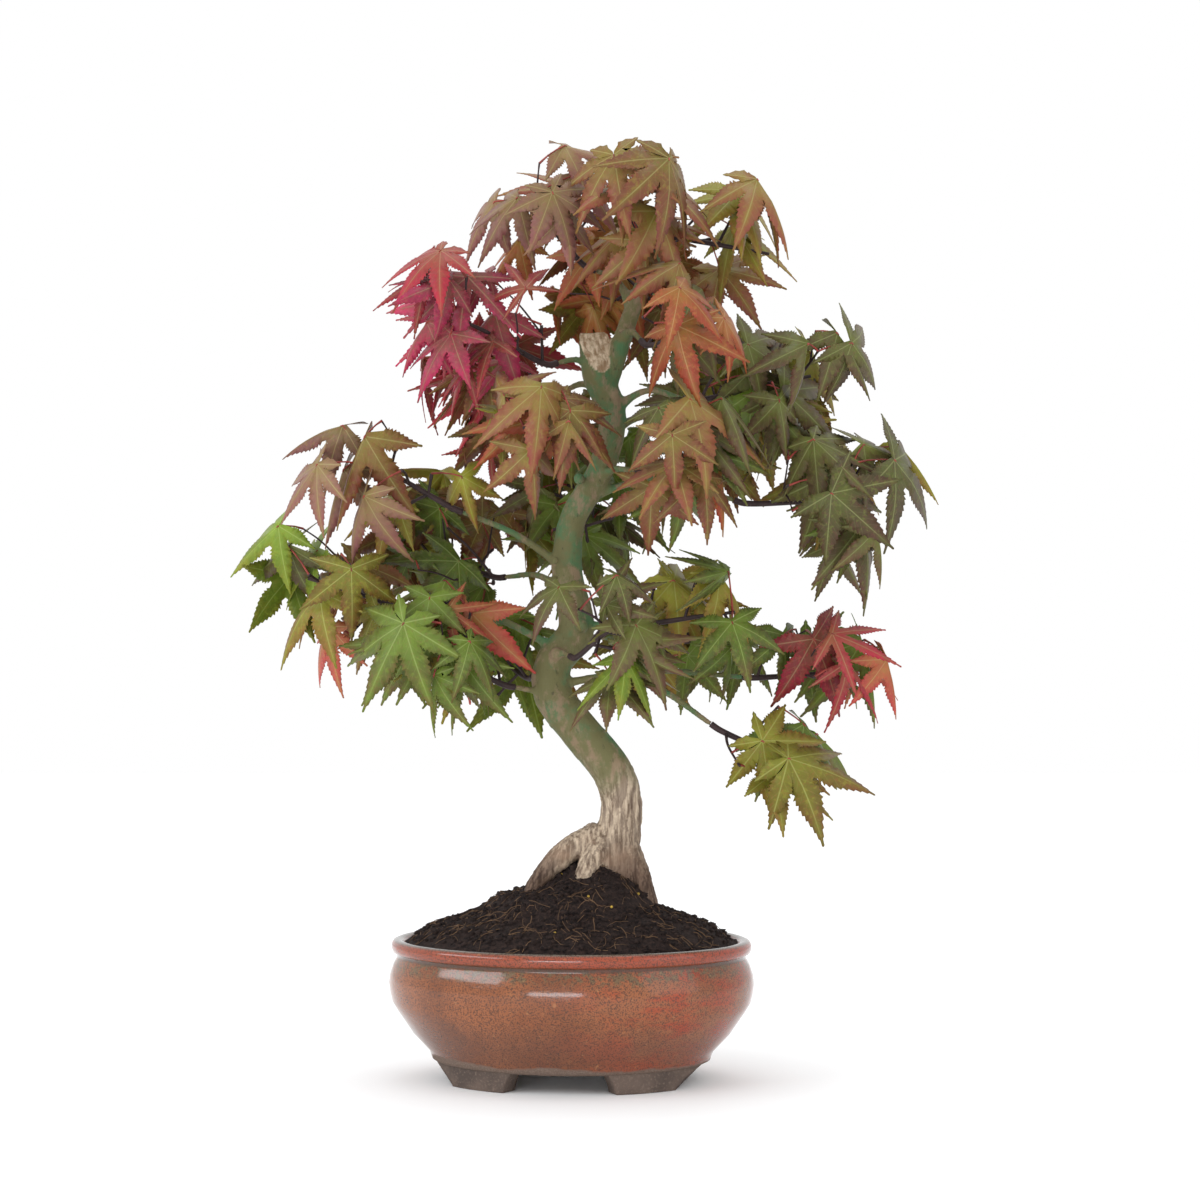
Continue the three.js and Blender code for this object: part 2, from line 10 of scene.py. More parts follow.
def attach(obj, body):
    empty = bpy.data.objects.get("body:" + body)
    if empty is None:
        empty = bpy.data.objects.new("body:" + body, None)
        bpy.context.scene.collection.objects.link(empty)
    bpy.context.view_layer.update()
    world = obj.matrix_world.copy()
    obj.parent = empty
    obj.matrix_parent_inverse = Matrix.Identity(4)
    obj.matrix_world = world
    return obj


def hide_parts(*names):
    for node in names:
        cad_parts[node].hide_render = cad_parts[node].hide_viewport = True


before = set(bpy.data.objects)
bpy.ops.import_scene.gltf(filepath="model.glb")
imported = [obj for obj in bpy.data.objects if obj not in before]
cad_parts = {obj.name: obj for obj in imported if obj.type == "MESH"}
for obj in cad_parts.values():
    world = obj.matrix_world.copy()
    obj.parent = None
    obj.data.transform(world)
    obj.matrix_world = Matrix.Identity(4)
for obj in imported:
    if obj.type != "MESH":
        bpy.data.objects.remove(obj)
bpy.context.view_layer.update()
mm = 0.001


def paint(red, green, blue):
    parts = [c / 255 for c in (red, green, blue)]
    linear = [c / 12.92 if c <= 0.04045 else ((c + 0.055) / 1.055) ** 2.4 for c in parts]
    return (*linear, 1.0)


def addObject(name, mesh, *materials):
    piece = bpy.data.objects.new(name, mesh)
    bpy.context.scene.collection.objects.link(piece)
    for material in materials:
        mesh.materials.append(material)
    return piece


def meshFrom(bm, name):
    mesh = bpy.data.meshes.new(name)
    bm.to_mesh(mesh)
    bm.free()
    mesh.shade_smooth()
    return mesh


def appliedMesh(piece, name):
    graph = bpy.context.evaluated_depsgraph_get()
    mesh = bpy.data.meshes.new_from_object(piece.evaluated_get(graph))
    mesh.name = name
    data = piece.data
    bpy.data.objects.remove(piece)
    if isinstance(data, bpy.types.Curve):
        bpy.data.curves.remove(data)
    return mesh


def finishPiece(piece, slotName, *nodes):
    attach(piece, "root")
    if nodes:
        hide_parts(*nodes)


def smoothstep(value, low, high):
    share = min(1, max(0, (value - low) / (high - low)))
    return share * share * (3 - 2 * share)


def curveThrough(bends, where):
    count = len(bends) - 1
    spot = min(where * count, count - 1e-6)
    i = int(spot)
    t = spot - i
    p1, p2 = bends[i], bends[i + 1]
    p0 = bends[i - 1] if i > 0 else p1 * 2 - p2
    p3 = bends[i + 2] if i + 2 <= count else p2 * 2 - p1
    gaps = [max(1e-3, np.linalg.norm(b - a) ** 0.5) for a, b in ((p0, p1), (p1, p2), (p2, p3))]
    m1 = ((p1 - p0) / gaps[0] - (p2 - p0) / (gaps[0] + gaps[1]) + (p2 - p1) / gaps[1]) * gaps[1]
    m2 = ((p2 - p1) / gaps[1] - (p3 - p1) / (gaps[1] + gaps[2]) + (p3 - p2) / gaps[2]) * gaps[1]
    return p1 + m1 * t + (3 * (p2 - p1) - 2 * m1 - m2) * t * t + (2 * (p1 - p2) + m1 + m2) * t ** 3


def smoothPath(bends, step=2.0):
    bends = [np.array(bend, float) for bend in bends]
    fine = np.array([curveThrough(bends, i / 240) for i in range(241)])
    run = np.concatenate([[0], np.cumsum(np.linalg.norm(np.diff(fine, axis=0), axis=1))])
    count = max(4, round(run[-1] / step))
    at = np.linspace(0, run[-1], count + 1)
    return np.stack([np.interp(at, run, fine[:, axis]) for axis in range(3)], axis=1)


def pointAt(path, share):
    spot = min(max(share, 0), 1) * (len(path) - 1)
    i = min(int(spot), len(path) - 2)
    return path[i] + (path[i + 1] - path[i]) * (spot - i)


def headingAt(path, share):
    span = pointAt(path, share + 0.03) - pointAt(path, share - 0.03)
    return span / np.linalg.norm(span)


def unit(vector):
    return vector / np.linalg.norm(vector)


def sideOf(heading):
    up = np.array((0, 0, 1.0)) if abs(heading[2]) < 0.8 else np.array((1.0, 0, 0))
    return unit(np.cross(heading, up))


def turned(vector, axis, angle):
    return np.array(Matrix.Rotation(angle, 3, Vector(axis)) @ Vector(vector))


def sweep(name, runs, resolution=2):
    # runs are (points in mm, radii in mm, material index)
    data = bpy.data.curves.new(name, "CURVE")
    data.dimensions = "3D"
    data.bevel_depth = 1.0
    data.bevel_resolution = resolution
    data.use_fill_caps = True
    for points, radii, index in runs:
        spline = data.splines.new("POLY")
        spline.points.add(len(points) - 1)
        spline.material_index = index
        for knot, point, radius in zip(spline.points, points, radii):
            knot.co = (*(np.array(point) * mm), 1)
            knot.radius = radius * mm
    return appliedMesh(addObject(name, data), name)


trunkPlan = {
    "bends": [
        (14, 0, 96), (16, 0, 128), (20.5, -1, 158), (15.5, -3, 177), (-5, -4, 203), (-19.5, -3, 223),
        (-19, 0, 240), (-6, 3, 259), (-11, 5, 292), (-8, 5, 323), (9, 1, 354), (15, -2, 384),
        (6.5, -3, 408), (4.5, -2, 432),
    ],
    "radii": [17, 13.8, 11.9, 11.8, 11.5, 11.2, 11, 10.6, 9, 8, 7.7, 8.2, 9.2, 8.8],
    "leader": [(11, -2, 398), (20, -2, 425), (29, 0, 451), (39, 3, 474), (46, 5, 494)],
    "leaderRadius": (6.4, 3.4),
    "roots": [
        ((8, -2, 141), (-12, -6, 131), (-30, -8, 111), (-34, -9, 98), (9, 4.2)),
        ((12, -4, 138), (3, -13, 127), (-4, -20, 109), (-7, -24, 96), (8, 3.8)),
        ((21, -2, 136), (28, -5, 123), (35, -8, 106), (39, -9, 94), (9, 4.6)),
        ((18, 4, 137), (24, 13, 124), (31, 22, 106), (34, 25, 95), (8.5, 4.2)),
        ((10, 4, 138), (-1, 13, 125), (-13, 21, 107), (-17, 24, 96), (8.5, 4)),
    ],
    "boughRadius": (3.2, 2),
    "entry": 0.8,  # how deep a bough runs into its mass before it becomes the mass's stem
    "shortestBough": 8,
    "stemRadius": (1.9, 0.9),
    "stemLead": 6,  # how far a stem keeps its bough's heading
    "stemBeyond": 0.4,  # and how far it runs on past the mass's middle
}

# each mass of foliage: middle and half sizes of its space, the limb that carries it, how far along
# that limb it forks, how far its bough bows up, how full it is, and its tints from front to back
masses = {
    "top_left": ((-24, -8, 496), (56, 54, 48), "leader", 0.5, 6, 0.56, "mauve brown rust"),
    "top_middle": ((28, -30, 490), (50, 52, 52), "leader", 0.8, 4, 0.7, "brown orange rust brown"),
    "top_right": ((88, -6, 480), (50, 52, 50), "leader", 0.95, 5, 0.45, "crimson olive brown"),
    "top_back": ((30, 56, 462), (60, 58, 56), "leader", 0.66, 6, 0.5, "rust brown olive"),
    "upper_left": ((-58, -34, 430), (64, 60, 50), "trunk", 0.92, 7, 0.54, "pink crimson pink brown pink"),
    "upper_front": ((50, -62, 422), (50, 54, 50), "leader", 0.3, 5, 0.65, "orange brown dusk"),
    "upper_right": ((108, -14, 402), (68, 62, 50), "trunk", 0.87, 8, 0.42, "dusk green olive dusk"),
    "upper_back_left": ((-50, 60, 398), (62, 58, 56), "trunk", 0.9, 6, 0.4, "brown crimson olive"),
    "upper_back_right": ((90, 62, 386), (60, 58, 56), "trunk", 0.84, 6, 0.4, "dusk olive brown"),
    "centre_left": ((-26, -70, 370), (50, 54, 48), "trunk", 0.8, 3, 0.85, "brown olive rust olive"),
    "centre_right": ((52, -68, 352), (52, 54, 54), "trunk", 0.76, 3, 0.85, "brown dusk rust green"),
    "middle_left": ((-112, -28, 350), (64, 60, 52), "trunk", 0.6, 4, 0.32, "mauve brown olive brown"),
    "middle_right": ((136, -6, 334), (63, 64, 68), "trunk", 0.72, 12, 0.31, "dusk green olive dusk"),
    "middle_back": ((4, 66, 334), (64, 56, 62), "trunk", 0.66, 6, 0.5, "green olive dusk"),
    "far_left": ((-142, -2, 284), (62, 62, 62), "trunk", 0.46, 8, 0.25, "olive dusk coral lime brown"),
    "back_left": ((-84, 66, 300), (60, 58, 60), "trunk", 0.56, 6, 0.36, "green brown olive"),
    "low_front": ((8, -62, 256), (54, 54, 60), "trunk", 0.43, 5, 0.85, "dusk green lime dusk green"),
    "low_left": ((-82, -26, 246), (62, 58, 50), "trunk", 0.36, 3, 0.46, "green coral coral green olive"),
    "low_back_left": ((-50, 62, 240), (60, 56, 50), "trunk", 0.4, 5, 0.38, "green lime olive"),
    "low_right": ((68, -22, 268), (56, 56, 52), "trunk", 0.5, 2, 0.6, "green olive dusk"),
    "low_back_right": ((62, 62, 252), (60, 56, 54), "trunk", 0.47, 5, 0.4, "green olive dusk"),
    "right_end": ((134, 8, 234), (54, 54, 42), "trunk", 0.4, 6, 0.42, "crimson green coral olive"),
    "right_hanging": ((118, -20, 184), (72, 54, 48), "right_end", 0.3, 6, 0.24, "olive green olive lime"),
}
# ovals seen from the front that no leaf enters, right through or only before the trunk
skyGaps = [
    ((101, 300), (20, 24), False),
    ((-122, 404), (14, 14), False),
    ((-106, 537), (58, 42), False),
    ((150, 522), (48, 44), False),
    ((-2, 317), (10, 24), True),
    ((-15, 247), (13, 20), True),
    ((6, 416), (17, 19), True),
]


def makeLimbs():
    radii = trunkPlan["radii"]
    heights = [bend[2] for bend in trunkPlan["bends"]]
    path = smoothPath(trunkPlan["bends"])
    limbs = {"trunk": {"path": path, "radii": np.interp(path[:, 2], heights, radii)}}
    path = smoothPath(trunkPlan["leader"])
    limbs["leader"] = {"path": path, "radii": np.linspace(*trunkPlan["leaderRadius"], len(path))}
    for name, (at, reach, host, fork, arch, *_) in masses.items():
        carrier = limbs[host]
        start = pointAt(carrier["path"], fork)
        middle, reach = np.array(at, float), np.array(reach, float)
        span = start - middle
        end = middle + span * min(1, trunkPlan["entry"] / np.linalg.norm(span / reach))
        stemStart = start
        heading = unit(middle - start)
        hostRadius = carrier["radii"][round(fork * (len(carrier["radii"]) - 1))]
        if np.linalg.norm(end - start) >= hostRadius + trunkPlan["shortestBough"]:
            bow = (start + end) / 2 + np.array((0, 0, arch))
            path = smoothPath([start, bow, end])
            limbs[name] = {"path": path, "radii": np.linspace(*trunkPlan["boughRadius"], len(path))}
            stemStart, heading = end, headingAt(path, 1)
        beyond = middle + (middle - stemStart) * trunkPlan["stemBeyond"]
        stem = smoothPath([stemStart, stemStart + heading * trunkPlan["stemLead"], middle, beyond])
        radii = np.linspace(*trunkPlan["stemRadius"], len(stem))
        limbs[name + "_stem"] = {"path": stem, "radii": radii}
    return limbs


limbs = makeLimbs()
print("limbs:", len(limbs))

studio = {
    "cameraAt": (0.008, -1.7, 0.277),
    "lens": 88,
    "sky": 1.0,
    # lamps: place, width and height, power
    "window": ((-0.42, -1.95, 0.3), (0.95, 0.28), 8),
    "key": ((-1.7, -0.8, 1.0), (1.5, 0.42), 13),
    "fill": ((1.5, -1.1, 0.7), (1.2, 1.2), 4),
    "top": ((0.1, 0.3, 1.9), (1.3, 1.3), 10),
    "lampColor": (0.9, 0.95, 1),
    "aimAt": (0, 0, 0.22),
    "floorHalf": 3.0,
}


def makeStudio():
    camera = bpy.data.objects.new("camera", bpy.data.cameras.new("camera"))
    camera.data.lens = studio["lens"]
    camera.data.sensor_width = 36
    camera.location = studio["cameraAt"]
    camera.rotation_euler = (math.radians(90), 0, 0)
    bpy.context.scene.collection.objects.link(camera)
    bpy.context.scene.camera = camera
    bpy.context.scene.view_settings.view_transform = "Standard"
    world = bpy.data.worlds.new("studio_sky")
    world.use_nodes = True
    sky = world.node_tree.nodes["Background"]
    sky.inputs["Color"].default_value = (1, 1, 1, 1)
    sky.inputs["Strength"].default_value = studio["sky"]
    bpy.context.scene.world = world
    for name in ("window", "key", "fill", "top"):
        place, (width, height), power = studio[name]
        lamp = bpy.data.lights.new(name, "AREA")
        lamp.shape = "RECTANGLE"
        lamp.size, lamp.size_y = width, height
        lamp.energy = power
        lamp.color = studio["lampColor"]
        holder = bpy.data.objects.new(name, lamp)
        holder.location = place
        aim = Vector(studio["aimAt"]) - Vector(place)
        holder.rotation_euler = aim.to_track_quat("-Z", "Y").to_euler()
        bpy.context.scene.collection.objects.link(holder)
    bm = bmesh.new()
    bmesh.ops.create_grid(bm, x_segments=1, y_segments=1, size=studio["floorHalf"])
    floorPaint = bpy.data.materials.new("floor_paint")
    floorPaint.use_nodes = True
    shader = floorPaint.node_tree.nodes["Principled BSDF"]
    shader.inputs["Base Color"].default_value = (1, 1, 1, 1)
    shader.inputs["Roughness"].default_value = 0.7
    addObject("floor", meshFrom(bm, "floor"), floorPaint)


makeStudio()
print("studio ready")


def newGroup(name, inputs, outputs):
    group = bpy.data.node_groups.new(name, "ShaderNodeTree")
    for label, kind, value in inputs:
        socket = group.interface.new_socket(label, in_out="INPUT", socket_type="NodeSocket" + kind)
        socket.default_value = value
    for label, kind in outputs:
        group.interface.new_socket(label, in_out="OUTPUT", socket_type="NodeSocket" + kind)
    return group, group.nodes.new("NodeGroupInput"), group.nodes.new("NodeGroupOutput")


def addNode(tree, kind, values=None, **settings):
    node = tree.nodes.new("ShaderNode" + kind)
    for key, value in settings.items():
        setattr(node, key, value)
    for key, value in (values or {}).items():
        node.inputs[key].default_value = value
    return node


def mixColors(tree, factor, first, second, blend="MIX"):
    node = tree.nodes.new("ShaderNodeMix")
    node.data_type = "RGBA"
    node.blend_type = blend
    # a mix node's first factor, and its colour pair
    for index, value in ((0, factor), (6, first), (7, second)):
        if isinstance(value, bpy.types.NodeSocket):
            tree.links.new(value, node.inputs[index])
        else:
            node.inputs[index].default_value = value
    return node.outputs[2]


def rampOf(tree, source, low, high):
    values = {"From Min": low, "From Max": high}
    node = addNode(tree, "MapRange", values, interpolation_type="SMOOTHSTEP")
    tree.links.new(source, node.inputs["Value"])
    return node.outputs["Result"]


def compute(tree, operation, first, second=None):
    node = addNode(tree, "Math", operation=operation)
    for socket, value in zip(node.inputs, (first, second)):
        if value is None:
            continue
        if isinstance(value, bpy.types.NodeSocket):
            tree.links.new(value, socket)
        else:
            socket.default_value = value
    return node.outputs[0]


def times(tree, first, second):
    return compute(tree, "MULTIPLY", first, second)


def inverse(tree, value):
    return compute(tree, "SUBTRACT", 1.0, value)


def twoTone(tree, mask, colors):
    return mixColors(tree, mask, *[paint(*color) for color in colors])


def layOver(tree, base, mask, share, color):
    return mixColors(tree, times(tree, mask, share), base, paint(*color))


def noiseAt(tree, coordinates, scale, detail=3, roughness=0.55, stretch=None):
    if stretch:
        mapping = addNode(tree, "Mapping", {"Scale": stretch})
        tree.links.new(coordinates, mapping.inputs["Vector"])
        coordinates = mapping.outputs["Vector"]
    node = addNode(tree, "TexNoise", {"Scale": scale, "Detail": detail, "Roughness": roughness})
    tree.links.new(coordinates, node.inputs["Vector"])
    return node.outputs["Fac"]


def newMaterial(name, roughness, specular=0.4, coat=0.0, coatRoughness=0.1):
    material = bpy.data.materials.new(name)
    material.use_nodes = True
    shader = material.node_tree.nodes["Principled BSDF"]
    shader.inputs["Roughness"].default_value = roughness
    shader.inputs["Specular IOR Level"].default_value = specular
    shader.inputs["Coat Weight"].default_value = coat
    shader.inputs["Coat Roughness"].default_value = coatRoughness
    return material, material.node_tree, shader


def bumpInto(tree, shader, height, strength, distance):
    node = addNode(tree, "Bump", {"Strength": strength, "Distance": distance})
    tree.links.new(height, node.inputs["Height"])
    tree.links.new(node.outputs["Normal"], shader.inputs["Normal"])


tints = {
    # blade, lobe tips and margin, heart and veins
    "lime": (paint(104, 126, 36), paint(134, 124, 44), paint(136, 160, 52)),
    "green": (paint(90, 104, 42), paint(110, 80, 50), paint(116, 140, 46)),
    "olive": (paint(130, 116, 44), paint(144, 84, 50), paint(146, 150, 48)),
    "dusk": (paint(98, 86, 54), paint(106, 62, 56), paint(112, 124, 50)),
    "brown": (paint(134, 86, 58), paint(140, 62, 56), paint(138, 130, 52)),
    "mauve": (paint(134, 94, 82), paint(140, 76, 78), paint(138, 122, 64)),
    "rust": (paint(152, 84, 50), paint(166, 60, 48), paint(150, 126, 52)),
    "orange": (paint(154, 80, 50), paint(166, 56, 48), paint(162, 120, 56)),
    "coral": (paint(166, 78, 62), paint(190, 54, 64), paint(166, 122, 64)),
    "crimson": (paint(150, 48, 56), paint(184, 24, 60), paint(138, 92, 58)),
    "pink": (paint(162, 56, 80), paint(204, 28, 90), paint(132, 94, 66)),
}


leafSkinPlan = {
    # where each mask starts and ends, along a lobe or out from its midrib, in leaf lengths
    "outer": (0.3, 0.95),
    "margin": (0.05, 0.15),
    "heart": (0.05, 0.55),
    "nearRib": (0.0, 0.06),
    "midrib": (0.002, 0.011),
    "sideVein": (0.02, 0.09),
    "veinFade": (1.0, 0.45),
    # how much of each shows
    "marginShare": 0.75,
    "nearRibShare": 0.7,
    "heartShare": 0.75,
    "toneAndPaintedShadeShare": 0.58,
    "marblingShare": 0.32,
    "speckleShare": 0.3,
    "midribShare": 0.4,
    "sideVeinShare": 0.08,
    "slant": 1.3,
    "sideVeins": 9.0,
    # painted shade: the colour that darkens each leaf, more on the outer leaves of the crown, and by a
    # random amount besides
    "toneAndPaintedShadeColor": (0.3, 0.3, 0.32, 1),
    "paleVein": (0.7, 0.68, 0.4, 1),
}


def makeLeafSkin():
    # the leaf's UV map holds the way along its lobe and the way out from the lobe's midrib
    plan = leafSkinPlan
    black = (0, 0, 0, 1)
    group, feed, result = newGroup(
        "leaf_skin",
        [("Blade", "Color", black), ("Tip", "Color", black), ("Vein", "Color", black)],
        [("Color", "Color"), ("Height", "Float")],
    )
    place = addNode(group, "UVMap", uv_map="lobes")
    parts = addNode(group, "SeparateXYZ")
    group.links.new(place.outputs["UV"], parts.inputs[0])
    along, aside = parts.outputs["X"], compute(group, "ABSOLUTE", parts.outputs["Y"])
    coordinates = addNode(group, "TexCoord").outputs["Object"]
    blotches = noiseAt(group, coordinates, 120, 5, 0.65)
    grain = noiseAt(group, coordinates, 640, 3)
    margin = times(group, rampOf(group, aside, *plan["margin"]), plan["marginShare"])
    outer = compute(group, "MAXIMUM", rampOf(group, along, *plan["outer"]), margin)
    tip = times(group, outer, rampOf(group, blotches, 0.32, 0.58))
    blade = mixColors(group, tip, feed.outputs["Blade"], feed.outputs["Tip"])
    heart = inverse(group, rampOf(group, along, *plan["heart"]))
    nearRib = times(group, inverse(group, rampOf(group, aside, *plan["nearRib"])), plan["nearRibShare"])
    heart = times(group, compute(group, "MAXIMUM", heart, nearRib), plan["heartShare"])
    heart = times(group, heart, rampOf(group, blotches, 0.72, 0.4))
    blade = mixColors(group, heart, blade, feed.outputs["Vein"])
    # painted shade: each leaf is darkened by its attribute, more on the outer leaves and by a random
    # amount besides
    leafToneAndPaintedShade = addNode(group, "Attribute", attribute_name="toneAndPaintedShade")
    toneAndShadeDarkening = times(group, leafToneAndPaintedShade.outputs["Fac"], plan["toneAndPaintedShadeShare"])
    blade = mixColors(group, toneAndShadeDarkening, blade, plan["toneAndPaintedShadeColor"], "MULTIPLY")
    marbling = rampOf(group, noiseAt(group, coordinates, 240, 5, 0.7), 0.52, 0.62)
    blade = mixColors(group, times(group, marbling, plan["marblingShare"]), blade, feed.outputs["Vein"])
    speckle = times(group, rampOf(group, grain, 0.5, 0.7), plan["speckleShare"])
    blade = mixColors(group, speckle, blade, feed.outputs["Tip"])
    midrib = inverse(group, rampOf(group, aside, *plan["midrib"]))
    slanted = compute(group, "SUBTRACT", along, times(group, aside, plan["slant"]))
    ridges = compute(group, "PINGPONG", times(group, slanted, plan["sideVeins"]), 0.5)
    sideVeins = inverse(group, rampOf(group, ridges, *plan["sideVein"]))
    midrib = times(group, midrib, plan["midribShare"])
    veins = compute(group, "MAXIMUM", midrib, times(group, sideVeins, plan["sideVeinShare"]))
    veins = times(group, veins, rampOf(group, along, *plan["veinFade"]))
    pale = mixColors(group, 0.25, feed.outputs["Vein"], plan["paleVein"])
    group.links.new(mixColors(group, veins, blade, pale), result.inputs["Color"])
    relief = compute(group, "SUBTRACT", times(group, grain, 0.3), veins)
    group.links.new(relief, result.inputs["Height"])
    return group


def makeLeafMaterial(name, skin):
    material, tree, shader = newMaterial("leaf_" + name, 0.46, 0.22)
    colors = tree.nodes.new("ShaderNodeGroup")
    colors.node_tree = skin
    for label, color in zip(("Blade", "Tip", "Vein"), tints[name]):
        colors.inputs[label].default_value = color
    tree.links.new(colors.outputs["Color"], shader.inputs["Base Color"])
    bumpInto(tree, shader, colors.outputs["Height"], 0.35, 0.0006)
    return material


leafPlan = {
    "length": 53,
    "vigour": 0.18,  # how much longer or shorter a leaf may be
    # turn in degrees and share of the length of each lobe, and how far out the notch after it lies
    "five": [(0, 1.0, 0.3), (54, 0.88, 0.25), (108, 0.58, 0)],
    "seven": [(0, 1.0, 0.32), (43, 0.92, 0.28), (86, 0.7, 0.2), (130, 0.38, 0)],
    "slender": [(0, 1.0, 0.17), (46, 0.88, 0.15), (96, 0.56, 0)],
    "width": {"five": 1, "seven": 0.92, "slender": 0.56},
    "stations": [0.34, 0.44, 0.56, 0.69, 0.84, 1.0],
    "halfWidth": [0.122, 0.146, 0.134, 0.094, 0.042, 0.0],
    "tooth": 0.034,
    "droop": 0.24,
    "close": 0.95,
    "fold": 0.14,
    "curl": 0.12,
    "thick": 0.35,
    "stalk": 26,
    "spacing": 4.6,
    "clear": 3,
    "spill": 6,  # how far a blade may stand over the border of its mass's space
    "blend": 22,  # and how far into the space of the mass next to it
    "tries": 22,
    "smallest": 0.68,
    "lobeRoom": 62,  # leaves farther off than this can't touch
    "look": 0.85,  # how squarely a blade faces the front, or the back of the tree
    "backFrom": 25,
    # how level a blade lies: low in the crown, how much more at its top, and from where to where
    "level": (0.42, 0.4, 440, 540),
    "wander": 0.45,
    "slenderShare": 0.1,
    "fiveShare": 0.35,
}


def addLobe(bm, uv, turn, length, broad, before, after):
    # one lobe lies along +X: a spine, a strip out to each margin, and saw teeth in the margin's edges
    small = length < 0.5
    stations = leafPlan["stations"][::2] + [1.0] if small else leafPlan["stations"]
    widths = leafPlan["halfWidth"][::2] + [0.0] if small else leafPlan["halfWidth"]
    spine = [bm.verts.new((0, 0, 0))] + [bm.verts.new((s * length, 0, 0)) for s in stations]
    ribs = [bm.edges.new(pair) for pair in zip(spine, spine[1:])]
    faces = []
    for side, (notchTurn, notchOut) in ((1, after), (-1, before)):
        grown = bmesh.ops.extrude_edge_only(bm, edges=ribs)["geom"]
        margin = sorted((g for g in grown if isinstance(g, bmesh.types.BMVert)), key=lambda v: v.co.x)
        faces += [g for g in grown if isinstance(g, bmesh.types.BMFace)]
        angle = math.radians(notchTurn - turn)
        margin[0].co = (math.cos(angle) * notchOut, math.sin(angle) * notchOut, 0)
        for vert, station, width in zip(margin[1:], stations, widths):
            vert.co = (station * length, side * width * broad * (0.3 + 0.7 * length), 0)
        for inner, outer in list(zip(margin[1:], margin[2:])):
            start, span = inner.co.copy(), outer.co - inner.co
            size = leafPlan["tooth"] * (1.15 - inner.co.x / length)
            saw = ((0.42, size), (0.52, -size * 0.15), (0.94, size))[:1 if small else 3]
            for at, out in saw:
                inner = bmesh.utils.edge_split(bm.edges.get((inner, outer)), inner, 0.5)[1]
                inner.co = start + span * at + Vector((0, side * out, 0))
    for face in faces:
        for loop in face.loops:
            loop[uv].uv = (loop.vert.co.x, loop.vert.co.y)
    verts = list({vert for face in faces for vert in face.verts})
    bmesh.ops.rotate(bm, verts=verts, matrix=Matrix.Rotation(math.radians(turn), 3, "Z"))


def makeLeafTemplate(kind):
    half = leafPlan[kind]
    whole = [(-turn, length) for turn, length, _ in reversed(half[1:])] + [lobe[:2] for lobe in half]
    notches = [((here[0] + there[0]) / 2, here[2]) for here, there in zip(half, half[1:])]
    notches = [(-turn, out) for turn, out in reversed(notches)] + notches
    notches = [(-172, 0.05)] + notches + [(172, 0.05)]
    bm = bmesh.new()
    uv = bm.loops.layers.uv.new("lobes")
    for i, (turn, length) in enumerate(whole):
        addLobe(bm, uv, turn, length, leafPlan["width"][kind], notches[i], notches[i + 1])
    bmesh.ops.remove_doubles(bm, verts=bm.verts, dist=0.004)
    bmesh.ops.recalc_face_normals(bm, faces=bm.faces)
    if sum(face.normal.z for face in bm.faces) < 0:
        bmesh.ops.reverse_faces(bm, faces=bm.faces)
    mesh = meshFrom(bm, "leaf_" + kind)
    flat = np.array([vert.co[:] for vert in mesh.vertices])
    turns = np.radians([turn for turn, _ in whole])
    around = np.arctan2(flat[:, 1], flat[:, 0])
    owner = np.argmin(np.abs(around[:, None] - turns), axis=1)
    out = np.hypot(flat[:, 0], flat[:, 1])
    fromRib = out * np.abs(np.sin(around - turns[owner]))
    # the spots on the longer lobes that have to stay clear of other leaves
    tested = [(math.cos(turn) * length * part, math.sin(turn) * length * part)
              for turn, (_, length) in zip(turns, whole) if length > 0.5 for part in (0.33, 0.67, 1.0)]
    return {"mesh": mesh, "flat": flat, "owner": owner, "out": out, "fromRib": fromRib,
            "tested": np.array(tested)}


slenderTints = ("pink", "crimson", "coral")
leafShapes = {kind: makeLeafTemplate(kind) for kind in leafPlan["width"]}
print("leaf faces:", [len(shape["mesh"].polygons) for shape in leafShapes.values()])


def spreadLeaf(flat, foot, pose, size, droop, close):
    # a half-closed leaf folds back about its middle lobe
    normal, forward, side = pose
    x, y = flat[:, :1] * size, flat[:, 1:2] * size
    out = flat[:, :1] ** 2 + flat[:, 1:2] ** 2
    back = droop * size * out + np.abs(y) * math.sin(close)
    return foot + forward * x + side * y * math.cos(close) - normal * back


def poseOf(foot, heading, dice):
    out = foot[0] / 200
    look = -leafPlan["look"] if foot[1] < leafPlan["backFrom"] else leafPlan["look"]
    low, more, start, end = leafPlan["level"]
    level = low + more * smoothstep(foot[2], start, end)
    normal = unit(np.array((out * 0.7 + dice() * 0.72, look + dice() * 0.35, level + dice() * 0.5)))
    forward = np.array((out * 0.9 + dice() * 0.6, dice() * 0.2, -0.75 + dice() * 0.4)) + heading * 0.5
    forward = unit(forward - normal * forward.dot(normal))
    return normal, forward, np.cross(normal, forward)


def insideSpace(points, mass, spill, blend):
    if np.linalg.norm((points - mass["middle"]) / (mass["reach"] + spill), axis=1).max() > 1:
        return False
    for at, half, inFront in skyGaps:
        hit = np.hypot((points[:, 0] - at[0]) / half[0], (points[:, 2] - at[1]) / half[1]) < 1
        if (hit & (points[:, 1] < 0) if inFront else hit).any():
            return False
    return bool((points @ mass["normals"].T < mass["levels"] + blend).all())


grown = {"blades": np.empty((0, 3)), "wood": np.empty((0, 3))}  # points on all that has grown so far


def roomFor(points, kind, gap):
    near = grown[kind][np.abs(grown[kind] - points.mean(axis=0)).max(axis=1) < leafPlan["lobeRoom"]]
    if len(near) == 0:
        return True
    spans = points[:, None, :] - near[None, :, :]
    return float((spans ** 2).sum(axis=2).min()) > gap * gap


def claim(points, kind):
    grown[kind] = np.concatenate([grown[kind], points])


